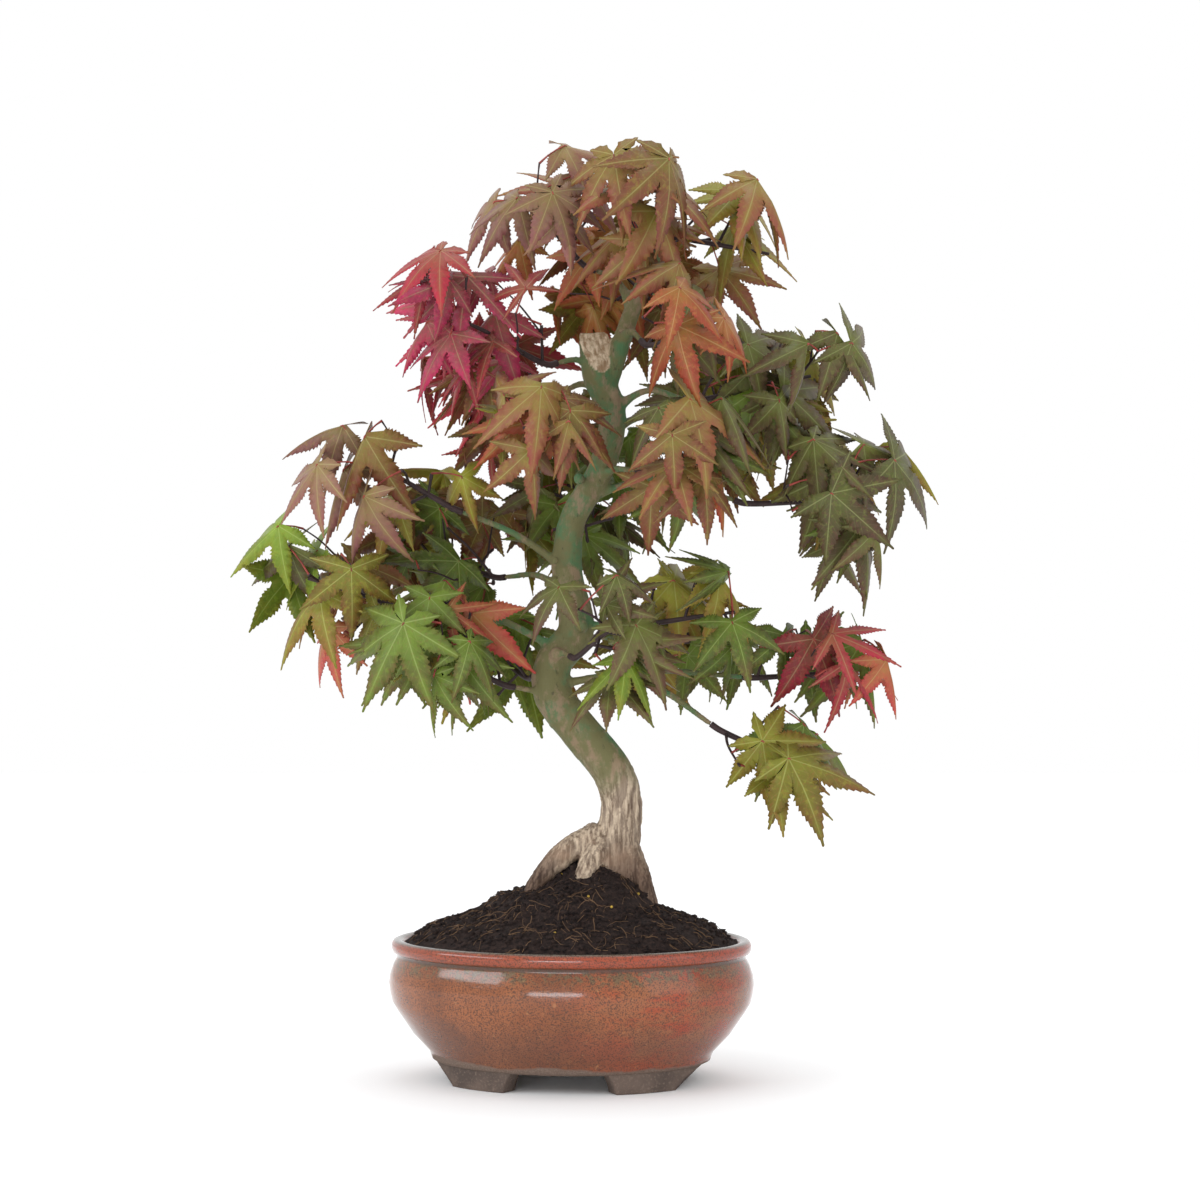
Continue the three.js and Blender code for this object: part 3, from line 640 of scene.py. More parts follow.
def setSpaces():
    spaces = {}
    for name, (at, reach, *_) in masses.items():
        spaces[name] = {"middle": np.array(at, float), "reach": np.array(reach, float)}
    for name, mass in spaces.items():
        normals, levels = [], []
        for other in (m for key, m in spaces.items() if key != name):
            span = other["middle"] - mass["middle"]
            far = np.linalg.norm(span)
            sizes = mass["reach"].mean() ** 2 - other["reach"].mean() ** 2
            normals.append(span / far)
            levels.append(span.dot(mass["middle"]) / far + (far * far + sizes) / (2 * far))
        mass["normals"], mass["levels"] = np.array(normals), np.array(levels)
        beads, widths = [], []
        for key, limb in limbs.items():
            if key == name + "_stem":
                continue
            beads.append(limb["path"][::3])
            widths.append(limb["radii"][::3])
        beads, widths = np.concatenate(beads), np.concatenate(widths)
        near = np.linalg.norm(beads - mass["middle"], axis=1) < mass["reach"].max() + 20
        mass["beads"], mass["widths"] = beads[near], widths[near]
    return spaces


def offBark(points, mass, margin):
    if len(mass["beads"]) == 0:
        return True
    spans = np.linalg.norm(points[:, None, :] - mass["beads"][None, :, :], axis=2)
    return bool((spans > mass["widths"] + margin).all())


def tryLeaf(mass, shoot, node, heading, tint, dice):
    vigour = 1 + dice() * leafPlan["vigour"]
    if tint in slenderTints and dice() < leafPlan["slenderShare"]:
        kind = "slender"
    else:
        kind = "five" if dice() < leafPlan["fiveShare"] else "seven"
    close = leafPlan["close"] * abs(dice())
    for attempt in range(leafPlan["tries"]):
        lean = unit(heading + np.array((dice(), dice(), dice())) * leafPlan["wander"])
        pose = poseOf(node, lean, dice)
        if pose[1].dot(lean) < 0.15:
            continue
        shrink = 1 - (1 - leafPlan["smallest"]) * attempt / leafPlan["tries"]
        foot = node + lean * leafPlan["stalk"] * (0.8 + dice() * 0.35)
        size = leafPlan["length"] * vigour * shrink
        points = spreadLeaf(leafShapes[kind]["tested"], foot, pose, size, leafPlan["droop"], close)
        stalk = np.array([node + (foot - node) * share for share in (0.4, 0.7)])
        if (insideSpace(points, mass, leafPlan["spill"], leafPlan["blend"])
                and offBark(points, mass, leafPlan["clear"])
                and roomFor(points, "blades", leafPlan["spacing"])
                and roomFor(points, "wood", leafPlan["spacing"] * 0.7)
                and roomFor(stalk, "blades", leafPlan["spacing"] * 0.7)):
            claim(points, "blades")
            claim(stalk, "wood")
            shoot["leaves"].append({
                "node": node, "foot": foot, "pose": pose, "size": size,
                "tint": tint, "kind": kind, "close": close,
            })
            return


def addTuft(mass, shoot, tip, heading, count, tint, dice):
    across = sideOf(heading)
    turn = dice() * math.pi
    for i in range(count):
        spread = turned(across, heading, turn + i * 2 * math.pi / count)
        if abs(dice()) < mass["fullness"]:
            tryLeaf(mass, shoot, tip, unit(heading * 0.5 + spread * 0.85), tint, dice)


def roomAlong(start, heading, mass):
    far = 0
    while insideSpace((start + heading * (far + 2))[None, :], mass, -2, 4):
        far += 2
    return far


growthPlan = {
    "stemNodes": (0.14, 0.33, 0.52, 0.71, 0.9),  # where pairs of twigs leave a mass's stem
    "lean": 0.4,  # how far a twig leans along its stem
    "tufts": ((0.36, 2), (0.66, 2), (0.97, 3)),  # where leaves leave a twig, and how many
    "stemTuft": 4,
    "sideTwigsAt": 0.5,
    "sideTurns": (0.7, -0.7),
    # the share of the free way that it takes, and its radius
    "twig": (0.62, 0.95),
    "sideTwig": (0.6, 0.65),
    "taper": 0.6,
    "shortestTwig": 7,
    "strayTint": -0.55,  # a throw below this gives a twig any of its mass's tints
}


def addTwig(mass, shoot, start, heading, size, dice):
    share, radius = size
    length = roomAlong(start, heading, mass) * share
    bend = sideOf(heading) * dice() * length * 0.08 + np.array((0, 0, length * 0.05))
    if length <= growthPlan["shortestTwig"]:
        return None
    path = smoothPath([start, start + heading * length * 0.5 + bend, start + heading * length])
    if not offBark(path[2:], mass, 1.5):
        return None
    claim(path[::3], "wood")
    radii = np.linspace(radius, radius * growthPlan["taper"], len(path))
    twig = {"path": path, "radii": radii, "end": 0}
    shoot["twigs"].append(twig)
    return twig


def addTwigsToStem(mass, shoot, stem, dice):
    twigs = []
    turn = dice() * math.pi
    for share in growthPlan["stemNodes"]:
        start, along = pointAt(stem, share), headingAt(stem, share)
        for side in (0, math.pi):
            spread = turned(sideOf(along), along, turn + side + dice() * 0.35)
            heading = unit(along * (growthPlan["lean"] + dice() * 0.2) + spread)
            twig = addTwig(mass, shoot, start, heading, growthPlan["twig"], dice)
            if twig:
                twigs.append((twig, heading))
        turn += math.pi / 2
    return sorted(twigs, key=lambda pair: pair[0]["path"][-1][1])  # front first


def addLeavesToTwig(mass, shoot, twig, heading, tint, dice):
    path = twig["path"]
    for share, count in growthPlan["tufts"]:
        held = len(shoot["leaves"])
        addTuft(mass, shoot, pointAt(path, share), headingAt(path, share), count, tint, dice)
        if len(shoot["leaves"]) > held:
            twig["end"] = share
    for turn in growthPlan["sideTurns"]:
        start, aside = pointAt(path, growthPlan["sideTwigsAt"]), turned(heading, sideOf(heading), turn)
        finer = addTwig(mass, shoot, start, aside, growthPlan["sideTwig"], dice)
        if finer:
            held = len(shoot["leaves"])
            share, count = growthPlan["tufts"][-1]
            tip, onward = pointAt(finer["path"], share), headingAt(finer["path"], 1)
            addTuft(mass, shoot, tip, onward, count, tint, dice)
            if len(shoot["leaves"]) > held:
                finer["end"], twig["end"] = 1, max(twig["end"], growthPlan["sideTwigsAt"])


def growMass(name, mass, rank):
    roll = random.Random(1013 + rank * 97)
    sprays = masses[name][-1].split()
    stem = limbs[name + "_stem"]["path"]
    shoot = {"leaves": [], "twigs": []}

    def dice():
        return roll.uniform(-1, 1)

    twigs = addTwigsToStem(mass, shoot, stem, dice)
    tip, heading = pointAt(stem, 0.98), headingAt(stem, 1)
    addTuft(mass, shoot, tip, heading, growthPlan["stemTuft"], sprays[0], dice)
    for i, (twig, heading) in enumerate(twigs):
        ownTint = sprays[i * len(sprays) // len(twigs)]
        tint = ownTint if dice() > growthPlan["strayTint"] else roll.choice(sprays)
        addLeavesToTwig(mass, shoot, twig, heading, tint, dice)
    return shoot


def growCrown():
    spaces = setSpaces()
    for name in spaces:
        spaces[name]["fullness"] = masses[name][-2]
        claim(limbs[name + "_stem"]["path"][::4], "wood")
    frontFirst = sorted(spaces, key=lambda name: spaces[name]["middle"][1])
    return {name: growMass(name, spaces[name], rank) for rank, name in enumerate(frontFirst)}


crown = growCrown()
leafCount = sum(len(shoot["leaves"]) for shoot in crown.values())
print("crown:", leafCount, "leaves,", sum(len(shoot["twigs"]) for shoot in crown.values()), "twigs")

levels = {  # lowest middle height of each band of the crown
    "top": 460,
    "upper": 400,
    "middle": 290,
    "low": 0,
}


def levelOf(name):
    height = masses[name][0][2]
    return next(level for level, lowest in levels.items() if height > lowest)


def placeLeaf(bm, toneAndPaintedShade, leaf, roll):
    shape, pose, size = leafShapes[leaf["kind"]], leaf["pose"], leaf["size"]
    bm.from_mesh(shape["mesh"])
    bm.verts.ensure_lookup_table()
    bm.faces.ensure_lookup_table()
    droop = leafPlan["droop"] * roll.uniform(0.7, 1.5)
    spots = spreadLeaf(shape["flat"], leaf["foot"], pose, size, droop, leaf["close"])
    fold = leafPlan["fold"] * roll.uniform(0.3, 1.6)
    curl = np.array([roll.uniform(-leafPlan["curl"], leafPlan["curl"]) for _ in range(7)])
    lift = (fold * shape["fromRib"] + curl[shape["owner"]] * shape["out"] ** 1.5) * size
    spots = (spots + pose[0] * lift[:, None]) * mm
    # painted light and shade: leaves inside the crown are painted paler and the outer ones deeper, in
    # place of the light that comes through the leaves before them; besides that, each leaf's depth of
    # colour varies at random
    outside = smoothstep(math.hypot(leaf["foot"][0], leaf["foot"][1] * 1.3), 20, 110)
    shade = roll.random() ** 1.2 * (0.3 + 0.7 * outside) + 0.22 * outside
    for vert, spot in zip(bm.verts[len(bm.verts) - len(spots):], spots):
        vert.co = spot
        vert[toneAndPaintedShade] = shade
    index = list(tints).index(leaf["tint"])
    for face in bm.faces[len(bm.faces) - len(shape["mesh"].polygons):]:
        face.material_index = index


def makeLeaves(level, materials):
    names = [name for name in masses if levelOf(name) == level]
    roll = random.Random(71 + len(level))
    bm = bmesh.new()
    toneAndPaintedShade = bm.verts.layers.float.new("toneAndPaintedShade")
    for name in names:
        for leaf in crown[name]["leaves"]:
            placeLeaf(bm, toneAndPaintedShade, leaf, roll)
    piece = addObject("leaves_" + level, meshFrom(bm, "leaves_" + level), *materials)
    skin = piece.modifiers.new("thickness", "SOLIDIFY")
    skin.thickness = leafPlan["thick"] * mm
    skin.offset = -1
    finishPiece(piece, "foliage_" + level, *["foliage_" + name for name in names])


leafSkin = makeLeafSkin()
leafMaterials = [makeLeafMaterial(name, leafSkin) for name in tints]
for level in levels:
    makeLeaves(level, leafMaterials)
print("leaves done")

twigPlan = {
    "barks": ((58, 40, 40), (74, 66, 40), (96, 44, 42)),  # purple brown, green brown, red
    "stalks": ((150, 60, 50), (172, 108, 52), (128, 140, 56)),  # red, orange, green
    "redTints": ("crimson", "pink", "coral", "orange", "rust", "mauve"),
    "bud": 1.35,  # the swelling under a twig's bud
    "stalkRadii": (0.75, 0.5, 0.45, 0.5, 0.25),
}


def makeMottledSkin():
    group, feed, result = newGroup(
        "mottled_skin",
        [("Base", "Color", (0, 0, 0, 1)), ("Patch", "Color", (0, 0, 0, 1))],
        [("Color", "Color"), ("Height", "Float")],
    )
    coordinates = addNode(group, "TexCoord").outputs["Object"]
    patches = rampOf(group, noiseAt(group, coordinates, 160), 0.35, 0.7)
    mottled = mixColors(group, patches, feed.outputs["Base"], feed.outputs["Patch"])
    group.links.new(mottled, result.inputs["Color"])
    group.links.new(noiseAt(group, coordinates, 900), result.inputs["Height"])
    return group


mottledSkin = makeMottledSkin()


def makeMottled(name, color, roughness):
    material, tree, shader = newMaterial(name, roughness, 0.35)
    skin = tree.nodes.new("ShaderNodeGroup")
    skin.node_tree = mottledSkin
    skin.inputs["Base"].default_value = paint(*color)
    skin.inputs["Patch"].default_value = tuple(c * 0.55 for c in paint(*color)[:3]) + (1,)
    tree.links.new(skin.outputs["Color"], shader.inputs["Base Color"])
    bumpInto(tree, shader, skin.outputs["Height"], 0.3, 0.0004)
    return material


def twigRuns(roll):
    runs, stalks = [], []
    for name, shoot in crown.items():
        stem = limbs[name + "_stem"]
        reach = max(1, round((len(stem["path"]) - 1) * 0.99))
        runs.append((stem["path"][:reach + 1], stem["radii"][:reach + 1], 0))
        for twig in shoot["twigs"]:
            if twig["end"]:
                reach = max(2, math.ceil(twig["end"] * len(twig["path"])))
                radii = twig["radii"][:reach].copy()
                radii[-2:] *= twigPlan["bud"]
                runs.append((twig["path"][:reach], radii, roll.choice((0, 0, 1, 2))))
        for leaf in shoot["leaves"]:
            node, foot = leaf["node"], leaf["foot"]
            sag = np.array((0, 0, 0.04)) * np.linalg.norm(foot - node)
            line = [node, node * 0.66 + foot * 0.34 + sag * 1.2, node * 0.3 + foot * 0.7 + sag, foot,
                    foot + leaf["pose"][1] * 1.5]
            index = 0 if leaf["tint"] in twigPlan["redTints"] else roll.choice((0, 1, 1, 2))
            stalks.append((line, twigPlan["stalkRadii"], index))
    return runs, stalks


def makeTwigs():
    runs, stalks = twigRuns(random.Random(5))
    for name, lines, resolution, skinName, colors, roughness, slotName in (
        ("twigs", runs, 2, "twig_bark", twigPlan["barks"], 0.6, "young_bark"),
        ("leaf_stalks", stalks, 1, "leaf_stalk", twigPlan["stalks"], 0.45, "foliage_middle"),
    ):
        mesh = sweep(name, lines, resolution)
        mesh.shade_smooth()
        skins = [makeMottled(f"{skinName}_{i}", color, roughness) for i, color in enumerate(colors)]
        finishPiece(addObject(name, mesh, *skins), slotName)


makeTwigs()
print("twigs and stalks done")

barkPlan = {
    "voxel": 1.15,
    "boughShare": 0.82,  # a bough's bark against its limb
    "collar": (2.4, 8),  # how far a bough swells where it leaves, and for how long
    "oldBelow": 172,  # the height where fissured grey bark gives way to smooth green
    "waver": 16,
    "fade": 22,
    "furrow": 0.75,
    "lump": 0.55,
    "nodeEvery": 23,
    "nodeRing": 0.35,
    "knots": [
        ((-17, -12, 246), 4.2), ((-3, -8, 262), 4.6), ((-4, -7, 347), 3.6),
        ((16, -9, 396), 3.6), ((-12, -9, 200), 3.0), ((-18, -9, 300), 2.6),
    ],
    "cutAt": (5, -2, 428),
    "cutNormal": (0.25, -0.85, 0.46),
    "cutAbove": 404,
    "cutGrain": 0.9,
    "old": ((98, 78, 62), (200, 180, 156)),
    # painted shade: the old bark is darkened where the furrow attribute is low
    "furrowShade": (96, 78, 66),
    "worn": (158, 128, 104),
    "young": ((106, 102, 66), (78, 112, 74)),
    "scar": (138, 116, 92),
    "crack": (54, 50, 40),
    "wood": ((150, 122, 92), (226, 206, 178)),
    # the root ends are darkened towards the soil: how dark, up to what height, and how far out, in metres
    "rootEndDark": (0.24, 0.17, 0.15, 1),
    "rootEndDarkShare": 0.9,
    "rootEndDarkHeight": (0.126, 0.16),
    "rootEndDarkOut": (0.008, 0.022),
}


def barkTubes():
    swell, reach = barkPlan["collar"]
    runs = [(limbs[name]["path"], limbs[name]["radii"], 0) for name in ("trunk", "leader")]
    for *bends, radii in trunkPlan["roots"]:
        path = smoothPath(bends)
        runs.append((path, np.linspace(*radii, len(path)), 0))
    for name in masses:
        if name in limbs:
            path, radii = limbs[name]["path"], limbs[name]["radii"]
            gone = np.linspace(0, np.linalg.norm(np.diff(path, axis=0), axis=1).sum(), len(path))
            collar = swell * np.exp(-((gone / reach) ** 2))
            runs.append((path, radii * barkPlan["boughShare"] + collar, 0))
    return runs


def makeBarkMesh():
    runs = barkTubes()
    mesh = sweep("bark_tubes", runs, 6)
    bm = bmesh.new()
    bm.from_mesh(mesh)
    for at, radius in barkPlan["knots"]:
        ball = bmesh.ops.create_icosphere(bm, subdivisions=2, radius=radius * mm)["verts"]
        bmesh.ops.translate(bm, verts=ball, vec=Vector(at) * mm)
    bmesh.ops.recalc_face_normals(bm, faces=bm.faces)
    bm.to_mesh(mesh)
    bm.free()
    rough = addObject("bark_rough", mesh)
    remesh = rough.modifiers.new("skin", "REMESH")
    remesh.mode = "VOXEL"
    remesh.voxel_size = barkPlan["voxel"] * mm
    soften = rough.modifiers.new("soften", "SMOOTH")
    soften.factor = 0.5
    soften.iterations = 6
    return appliedMesh(rough, "bark"), runs


def nearestOnLimbs(spots, lines, widths, block=4000):
    found = []
    for start in range(0, len(spots), block):
        spans = np.linalg.norm(spots[start:start + block, None, :] - lines[None, :, :], axis=2)
        found.extend((spans - widths).argmin(axis=1))
    return found


def streakAt(place, rim, gone, limb):
    turn = math.atan2(rim[1], rim[0])
    turn += noise.noise(Vector(place) * 0.03) * 0.9
    ring = Vector((math.cos(turn) * 2.4, math.sin(turn) * 2.4, gone * 0.035 + limb))
    return noise.fractal(ring * 2.2, 0.8, 2.2, 4)


def ageAt(place, limb):
    if limb > 1 + len(trunkPlan["roots"]):  # trunk, leader and roots come before the boughs
        return 0
    edge = barkPlan["oldBelow"] + barkPlan["waver"] * noise.noise(Vector(place) * 0.045)
    half = barkPlan["fade"] / 2
    return 1 - smoothstep(place[2], edge - half, edge + half)


def sawOff(place, moved, limb):
    if limb == 0 and place[2] > barkPlan["cutAbove"]:
        normal = unit(np.array(barkPlan["cutNormal"]))
        over = (moved - np.array(barkPlan["cutAt"])).dot(normal)
        if over > 0:
            grain = barkPlan["cutGrain"] * noise.noise(Vector(place) * 0.35)
            return moved - normal * (over + grain), 1.0
    return moved, 0.0


def carveBark(mesh, runs):
    # every vertex finds its limb, then furrows and scars run along that limb
    plan = barkPlan
    spots = np.array([vert.co[:] for vert in mesh.vertices]) / mm
    normals = np.array([vert.normal[:] for vert in mesh.vertices])
    lines = np.concatenate([run[0] for run in runs])
    owner = np.concatenate([np.full(len(run[0]), i) for i, run in enumerate(runs)])
    gone = np.concatenate([np.arange(len(run[0])) * 2.0 for run in runs])
    widths = np.concatenate([run[1] for run in runs])
    layers = {"age": [], "furrow": [], "sawn": []}
    for i, near in enumerate(nearestOnLimbs(spots, lines, widths)):
        place, limb = spots[i], owner[near]
        streak, age = streakAt(place, place - lines[near], gone[near], limb), ageAt(place, limb)
        lump = noise.noise(Vector(place) * 0.11) * plan["lump"]
        node = math.exp(-((gone[near] % plan["nodeEvery"] - 11) / 1.2) ** 2) * plan["nodeRing"]
        depth = age * plan["furrow"] * (abs(streak) * 1.6 - 0.45) + (1 - age) * (lump * 0.6 + node)
        depth = (depth + lump * age) * min(1, widths[near] / 8)
        spots[i], sawn = sawOff(place, place + normals[i] * depth, limb)
        for layer, value in zip(layers.values(), (age, streak * 0.5 + 0.5, sawn)):
            layer.append(value)
    for vert, spot in zip(mesh.vertices, spots):
        vert.co = spot * mm
    for name, values in layers.items():
        mesh.attributes.new(name, "FLOAT", "POINT").data.foreach_set("value", values)
    mesh.update()


def makeBarkMaterial():
    plan = barkPlan
    material, tree, shader = newMaterial("maple_bark", 0.72, 0.3)
    coordinates = addNode(tree, "TexCoord").outputs["Object"]
    age, furrow, sawn = [addNode(tree, "Attribute", attribute_name=name).outputs["Fac"]
                         for name in ("age", "furrow", "sawn")]
    fibres = noiseAt(tree, coordinates, 400, 5, 0.65, (1, 1, 0.12))
    patches = noiseAt(tree, coordinates, 45, 4, 0.6)
    scars = noiseAt(tree, coordinates, 90, 6, 0.72, (1, 1, 0.6))
    cracks = noiseAt(tree, coordinates, 330, 4, 0.7, (1, 1, 0.5))
    grey = twoTone(tree, rampOf(tree, fibres, 0.3, 0.66), plan["old"])
    # painted shade along the furrows of the old bark
    grey = layOver(tree, grey, rampOf(tree, furrow, 0.56, 0.34), 0.55, plan["furrowShade"])
    grey = layOver(tree, grey, rampOf(tree, patches, 0.5, 0.75), 0.6, plan["worn"])
    green = twoTone(tree, rampOf(tree, patches, 0.46, 0.64), plan["young"])
    green = layOver(tree, green, rampOf(tree, scars, 0.5, 0.62), 0.85, plan["scar"])
    green = layOver(tree, green, rampOf(tree, cracks, 0.6, 0.7), 0.55, plan["crack"])
    bark = mixColors(tree, age, green, grey)
    parts = addNode(tree, "SeparateXYZ")
    tree.links.new(coordinates, parts.inputs[0])
    wander = compute(tree, "ADD", parts.outputs["Z"], times(tree, patches, 0.02))
    # the root ends are darkened towards the soil, away from the trunk's middle
    rootEndDark = inverse(tree, rampOf(tree, wander, *plan["rootEndDarkHeight"]))
    aside = compute(tree, "ABSOLUTE", compute(tree, "ADD", parts.outputs["X"], 0.002))
    rootEndDark = times(tree, rootEndDark, rampOf(tree, aside, *plan["rootEndDarkOut"]))
    bark = mixColors(tree, times(tree, rootEndDark, plan["rootEndDarkShare"]), bark, plan["rootEndDark"], "MULTIPLY")
    wood = twoTone(tree, rampOf(tree, fibres, 0.35, 0.7), plan["wood"])
    tree.links.new(mixColors(tree, sawn, bark, wood), shader.inputs["Base Color"])
    bumpInto(tree, shader, fibres, 0.5, 0.0012)
    return material


def makeTrunk():
    mesh, runs = makeBarkMesh()
    carveBark(mesh, runs)
    mesh.shade_smooth()
    piece = addObject("trunk_and_boughs", mesh, makeBarkMaterial())
    boughs = ["bough_" + name for name in masses if "bough_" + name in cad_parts]
    finishPiece(piece, "bark", "trunk", "leader", *boughs)
    return len(mesh.polygons)


print("trunk:", makeTrunk(), "faces")

potPlan = {
    "centre": (-8.7, 0, 0),
    "turn": -6,
    "depthShare": 0.79,
    "steps": 144,
    "outside": [
        (0, 11), (60, 11), (78, 11), (80.6, 12.2), (81.4, 14.4), (82.4, 17), (92, 27), (101, 40),
        (104, 45), (105.3, 50.5), (106, 56), (105.3, 61), (103.2, 67), (101.4, 70.2), (101, 72),
        (101.6, 73), (103.6, 73.8), (104.5, 76), (104.4, 78.2), (103.2, 80.2), (101, 81),
        (98.6, 80.6), (96.6, 79.2),
    ],
    "inside": [(95, 72), (99, 56), (94, 41), (74, 20), (0, 20)],
    "ground": ((116, 64, 35), (144, 84, 49)),
    "flame": (156, 46, 12),
    "belly": (98, 60, 42),
    "shoulder": (92, 80, 54),
    "lip": (150, 62, 40),
    # painted shadow: the dark line below the lip, where the lip overhangs the neck
    "underLipShadow": (64, 46, 38),
    "rim": (104, 96, 86),
    "dots": (66, 42, 30),
    "freckles": (206, 150, 96),
    "unglazed": ((96, 80, 70), (122, 104, 92)),
    # heights in metres where the bands of the glaze start and end
    "glazeFrom": (0.0195, 0.0212),
    "bellyTo": (0.032, 0.052),
    "shoulderFrom": (0.068, 0.0735),
    "shoulderTo": (0.0715, 0.0735),
    "underLipShadowFrom": (0.0700, 0.0716),
    "underLipShadowTo": (0.0738, 0.0726),
    "lipFrom": (0.0728, 0.0742),
    "rimFrom": (0.0795, 0.0808),
}


def placeAsPot(bm, verts=None):
    verts = verts or bm.verts
    bmesh.ops.scale(bm, vec=(1, potPlan["depthShare"], 1), verts=verts)
    bmesh.ops.rotate(bm, verts=verts, matrix=Matrix.Rotation(math.radians(potPlan["turn"]), 3, "Z"))
    bmesh.ops.translate(bm, verts=verts, vec=potPlan["centre"])
    bmesh.ops.scale(bm, vec=(mm, mm, mm), verts=verts)


def spinProfile(bm, profile, steps):
    verts = [bm.verts.new((half, 0, height)) for half, height in profile]
    edges = [bm.edges.new(pair) for pair in zip(verts, verts[1:])]
    bmesh.ops.spin(bm, geom=verts + edges, axis=(0, 0, 1), cent=(0, 0, 0), angle=2 * math.pi,
                   steps=steps, use_merge=True)
    bmesh.ops.remove_doubles(bm, verts=bm.verts, dist=0.01)
    bmesh.ops.recalc_face_normals(bm, faces=bm.faces)


def makePotMesh():
    bm = bmesh.new()
    spinProfile(bm, potPlan["outside"] + potPlan["inside"], potPlan["steps"])
    placeAsPot(bm)
    return meshFrom(bm, "glazed_pot")


feetPlan = {
    "outer": 79,
    "inner": 65,
    "height": 12,
    # where a foot starts and ends beside the pot's middle, at its sole and at its top
    "bottom": (32, 64),
    "top": (27, 78.6),
    "rows": 6,
    "steps": 14,
    "edge": 0.7,
    "clay": ((78, 67, 61), (102, 87, 78)),
    "grit": (142, 124, 110),
}


def bendFoot(verts, mirror):
    plan = feetPlan
    for vert in verts:
        flare = (vert.co.z / plan["height"]) ** 1.7
        short, long = [low + (high - low) * flare for low, high in zip(plan["bottom"], plan["top"])]
        near, far = math.acos(min(0.999, long / plan["outer"])), math.acos(short / plan["outer"])
        angle = near + (far - near) * math.atan2(vert.co.y, vert.co.x)
        out = math.hypot(vert.co.x, vert.co.y)
        vert.co.x, vert.co.y = out * math.cos(angle), out * math.sin(angle) * mirror


def makeFeetMesh():
    # a bar swept along the oval's edge, its ends drawn into the shape of a bracket
    plan = feetPlan
    heights = [plan["height"] * row / plan["rows"] for row in range(plan["rows"] + 1)]
    bm = bmesh.new()
    for turn, mirror in ((0, 1), (0, -1), (180, 1), (180, -1)):
        inner = [bm.verts.new((plan["inner"], 0, height)) for height in heights]
        outer = [bm.verts.new((plan["outer"], 0, height)) for height in heights]
        section = bm.faces.new(inner + outer[::-1])
        bmesh.ops.spin(bm, geom=[section], axis=(0, 0, 1), cent=(0, 0, 0), angle=1.0,
                       steps=plan["steps"])
        verts = [vert for vert in bm.verts if not vert.tag]
        for vert in verts:
            vert.tag = True
        bendFoot(verts, mirror)
        bmesh.ops.rotate(bm, verts=verts, matrix=Matrix.Rotation(math.radians(turn), 3, "Z"))
    bmesh.ops.recalc_face_normals(bm, faces=bm.faces)
    edges = [edge for edge in bm.edges if len(edge.link_faces) == 2 and edge.calc_face_angle(0) > 0.7]
    bmesh.ops.bevel(bm, geom=edges, offset=plan["edge"], offset_type="OFFSET", segments=2, profile=0.5,
                    material=-1, affect="EDGES")
    placeAsPot(bm)
    return meshFrom(bm, "clay_feet")


def makeGlaze():
    plan = potPlan
    material, tree, shader = newMaterial("glaze", 0.2, 0.25, 0.5, 0.09)
    coordinates = addNode(tree, "TexCoord").outputs["Object"]
    parts = addNode(tree, "SeparateXYZ")
    tree.links.new(coordinates, parts.inputs[0])
    side, height = parts.outputs["X"], parts.outputs["Z"]
    clouds = noiseAt(tree, coordinates, 16, 4, 0.6)
    runsDown = noiseAt(tree, coordinates, 22, 5, 0.65, (1, 1, 2.6))
    specks = noiseAt(tree, coordinates, 1150, 3, 0.65)
    freckles = noiseAt(tree, coordinates, 260, 4, 0.7)
    wander = compute(tree, "ADD", height, times(tree, clouds, 0.012))

    red = times(tree, rampOf(tree, runsDown, 0.4, 0.6), rampOf(tree, side, -0.045, 0.06))
    belly = inverse(tree, rampOf(tree, wander, *plan["bellyTo"]))
    shoulder = times(tree, rampOf(tree, wander, *plan["shoulderFrom"]),
                     inverse(tree, rampOf(tree, height, *plan["shoulderTo"])))
    shoulder = times(tree, shoulder, rampOf(tree, freckles, 0.46, 0.56))
    # painted shadow below the lip
    underLipShade = times(tree, rampOf(tree, height, *plan["underLipShadowFrom"]),
                  rampOf(tree, height, *plan["underLipShadowTo"]))
    rim = rampOf(tree, height, *plan["rimFrom"])
    bare = inverse(tree, rampOf(tree, wander, *plan["glazeFrom"]))

    base = twoTone(tree, rampOf(tree, clouds, 0.35, 0.65), plan["ground"])
    base = layOver(tree, base, red, 0.8, plan["flame"])
    base = layOver(tree, base, belly, 0.45, plan["belly"])
    base = layOver(tree, base, shoulder, 0.85, plan["shoulder"])
    base = layOver(tree, base, rampOf(tree, height, *plan["lipFrom"]), 0.7, plan["lip"])
    base = layOver(tree, base, underLipShade, 0.75, plan["underLipShadow"])
    base = mixColors(tree, rim, base, paint(*plan["rim"]))
    base = layOver(tree, base, rampOf(tree, specks, 0.5, 0.57), 0.8, plan["dots"])
    base = layOver(tree, base, rampOf(tree, freckles, 0.6, 0.74), 0.25, plan["freckles"])
    clay = twoTone(tree, rampOf(tree, specks, 0.35, 0.7), plan["unglazed"])
    roughness = compute(tree, "ADD", times(tree, bare, 0.6), 0.18)
    tree.links.new(mixColors(tree, bare, base, clay), shader.inputs["Base Color"])
    tree.links.new(roughness, shader.inputs["Roughness"])
    tree.links.new(times(tree, inverse(tree, bare), 0.5), shader.inputs["Coat Weight"])
    bumpInto(tree, shader, compute(tree, "ADD", runsDown, times(tree, specks, 0.05)), 0.3, 0.0025)
    return material


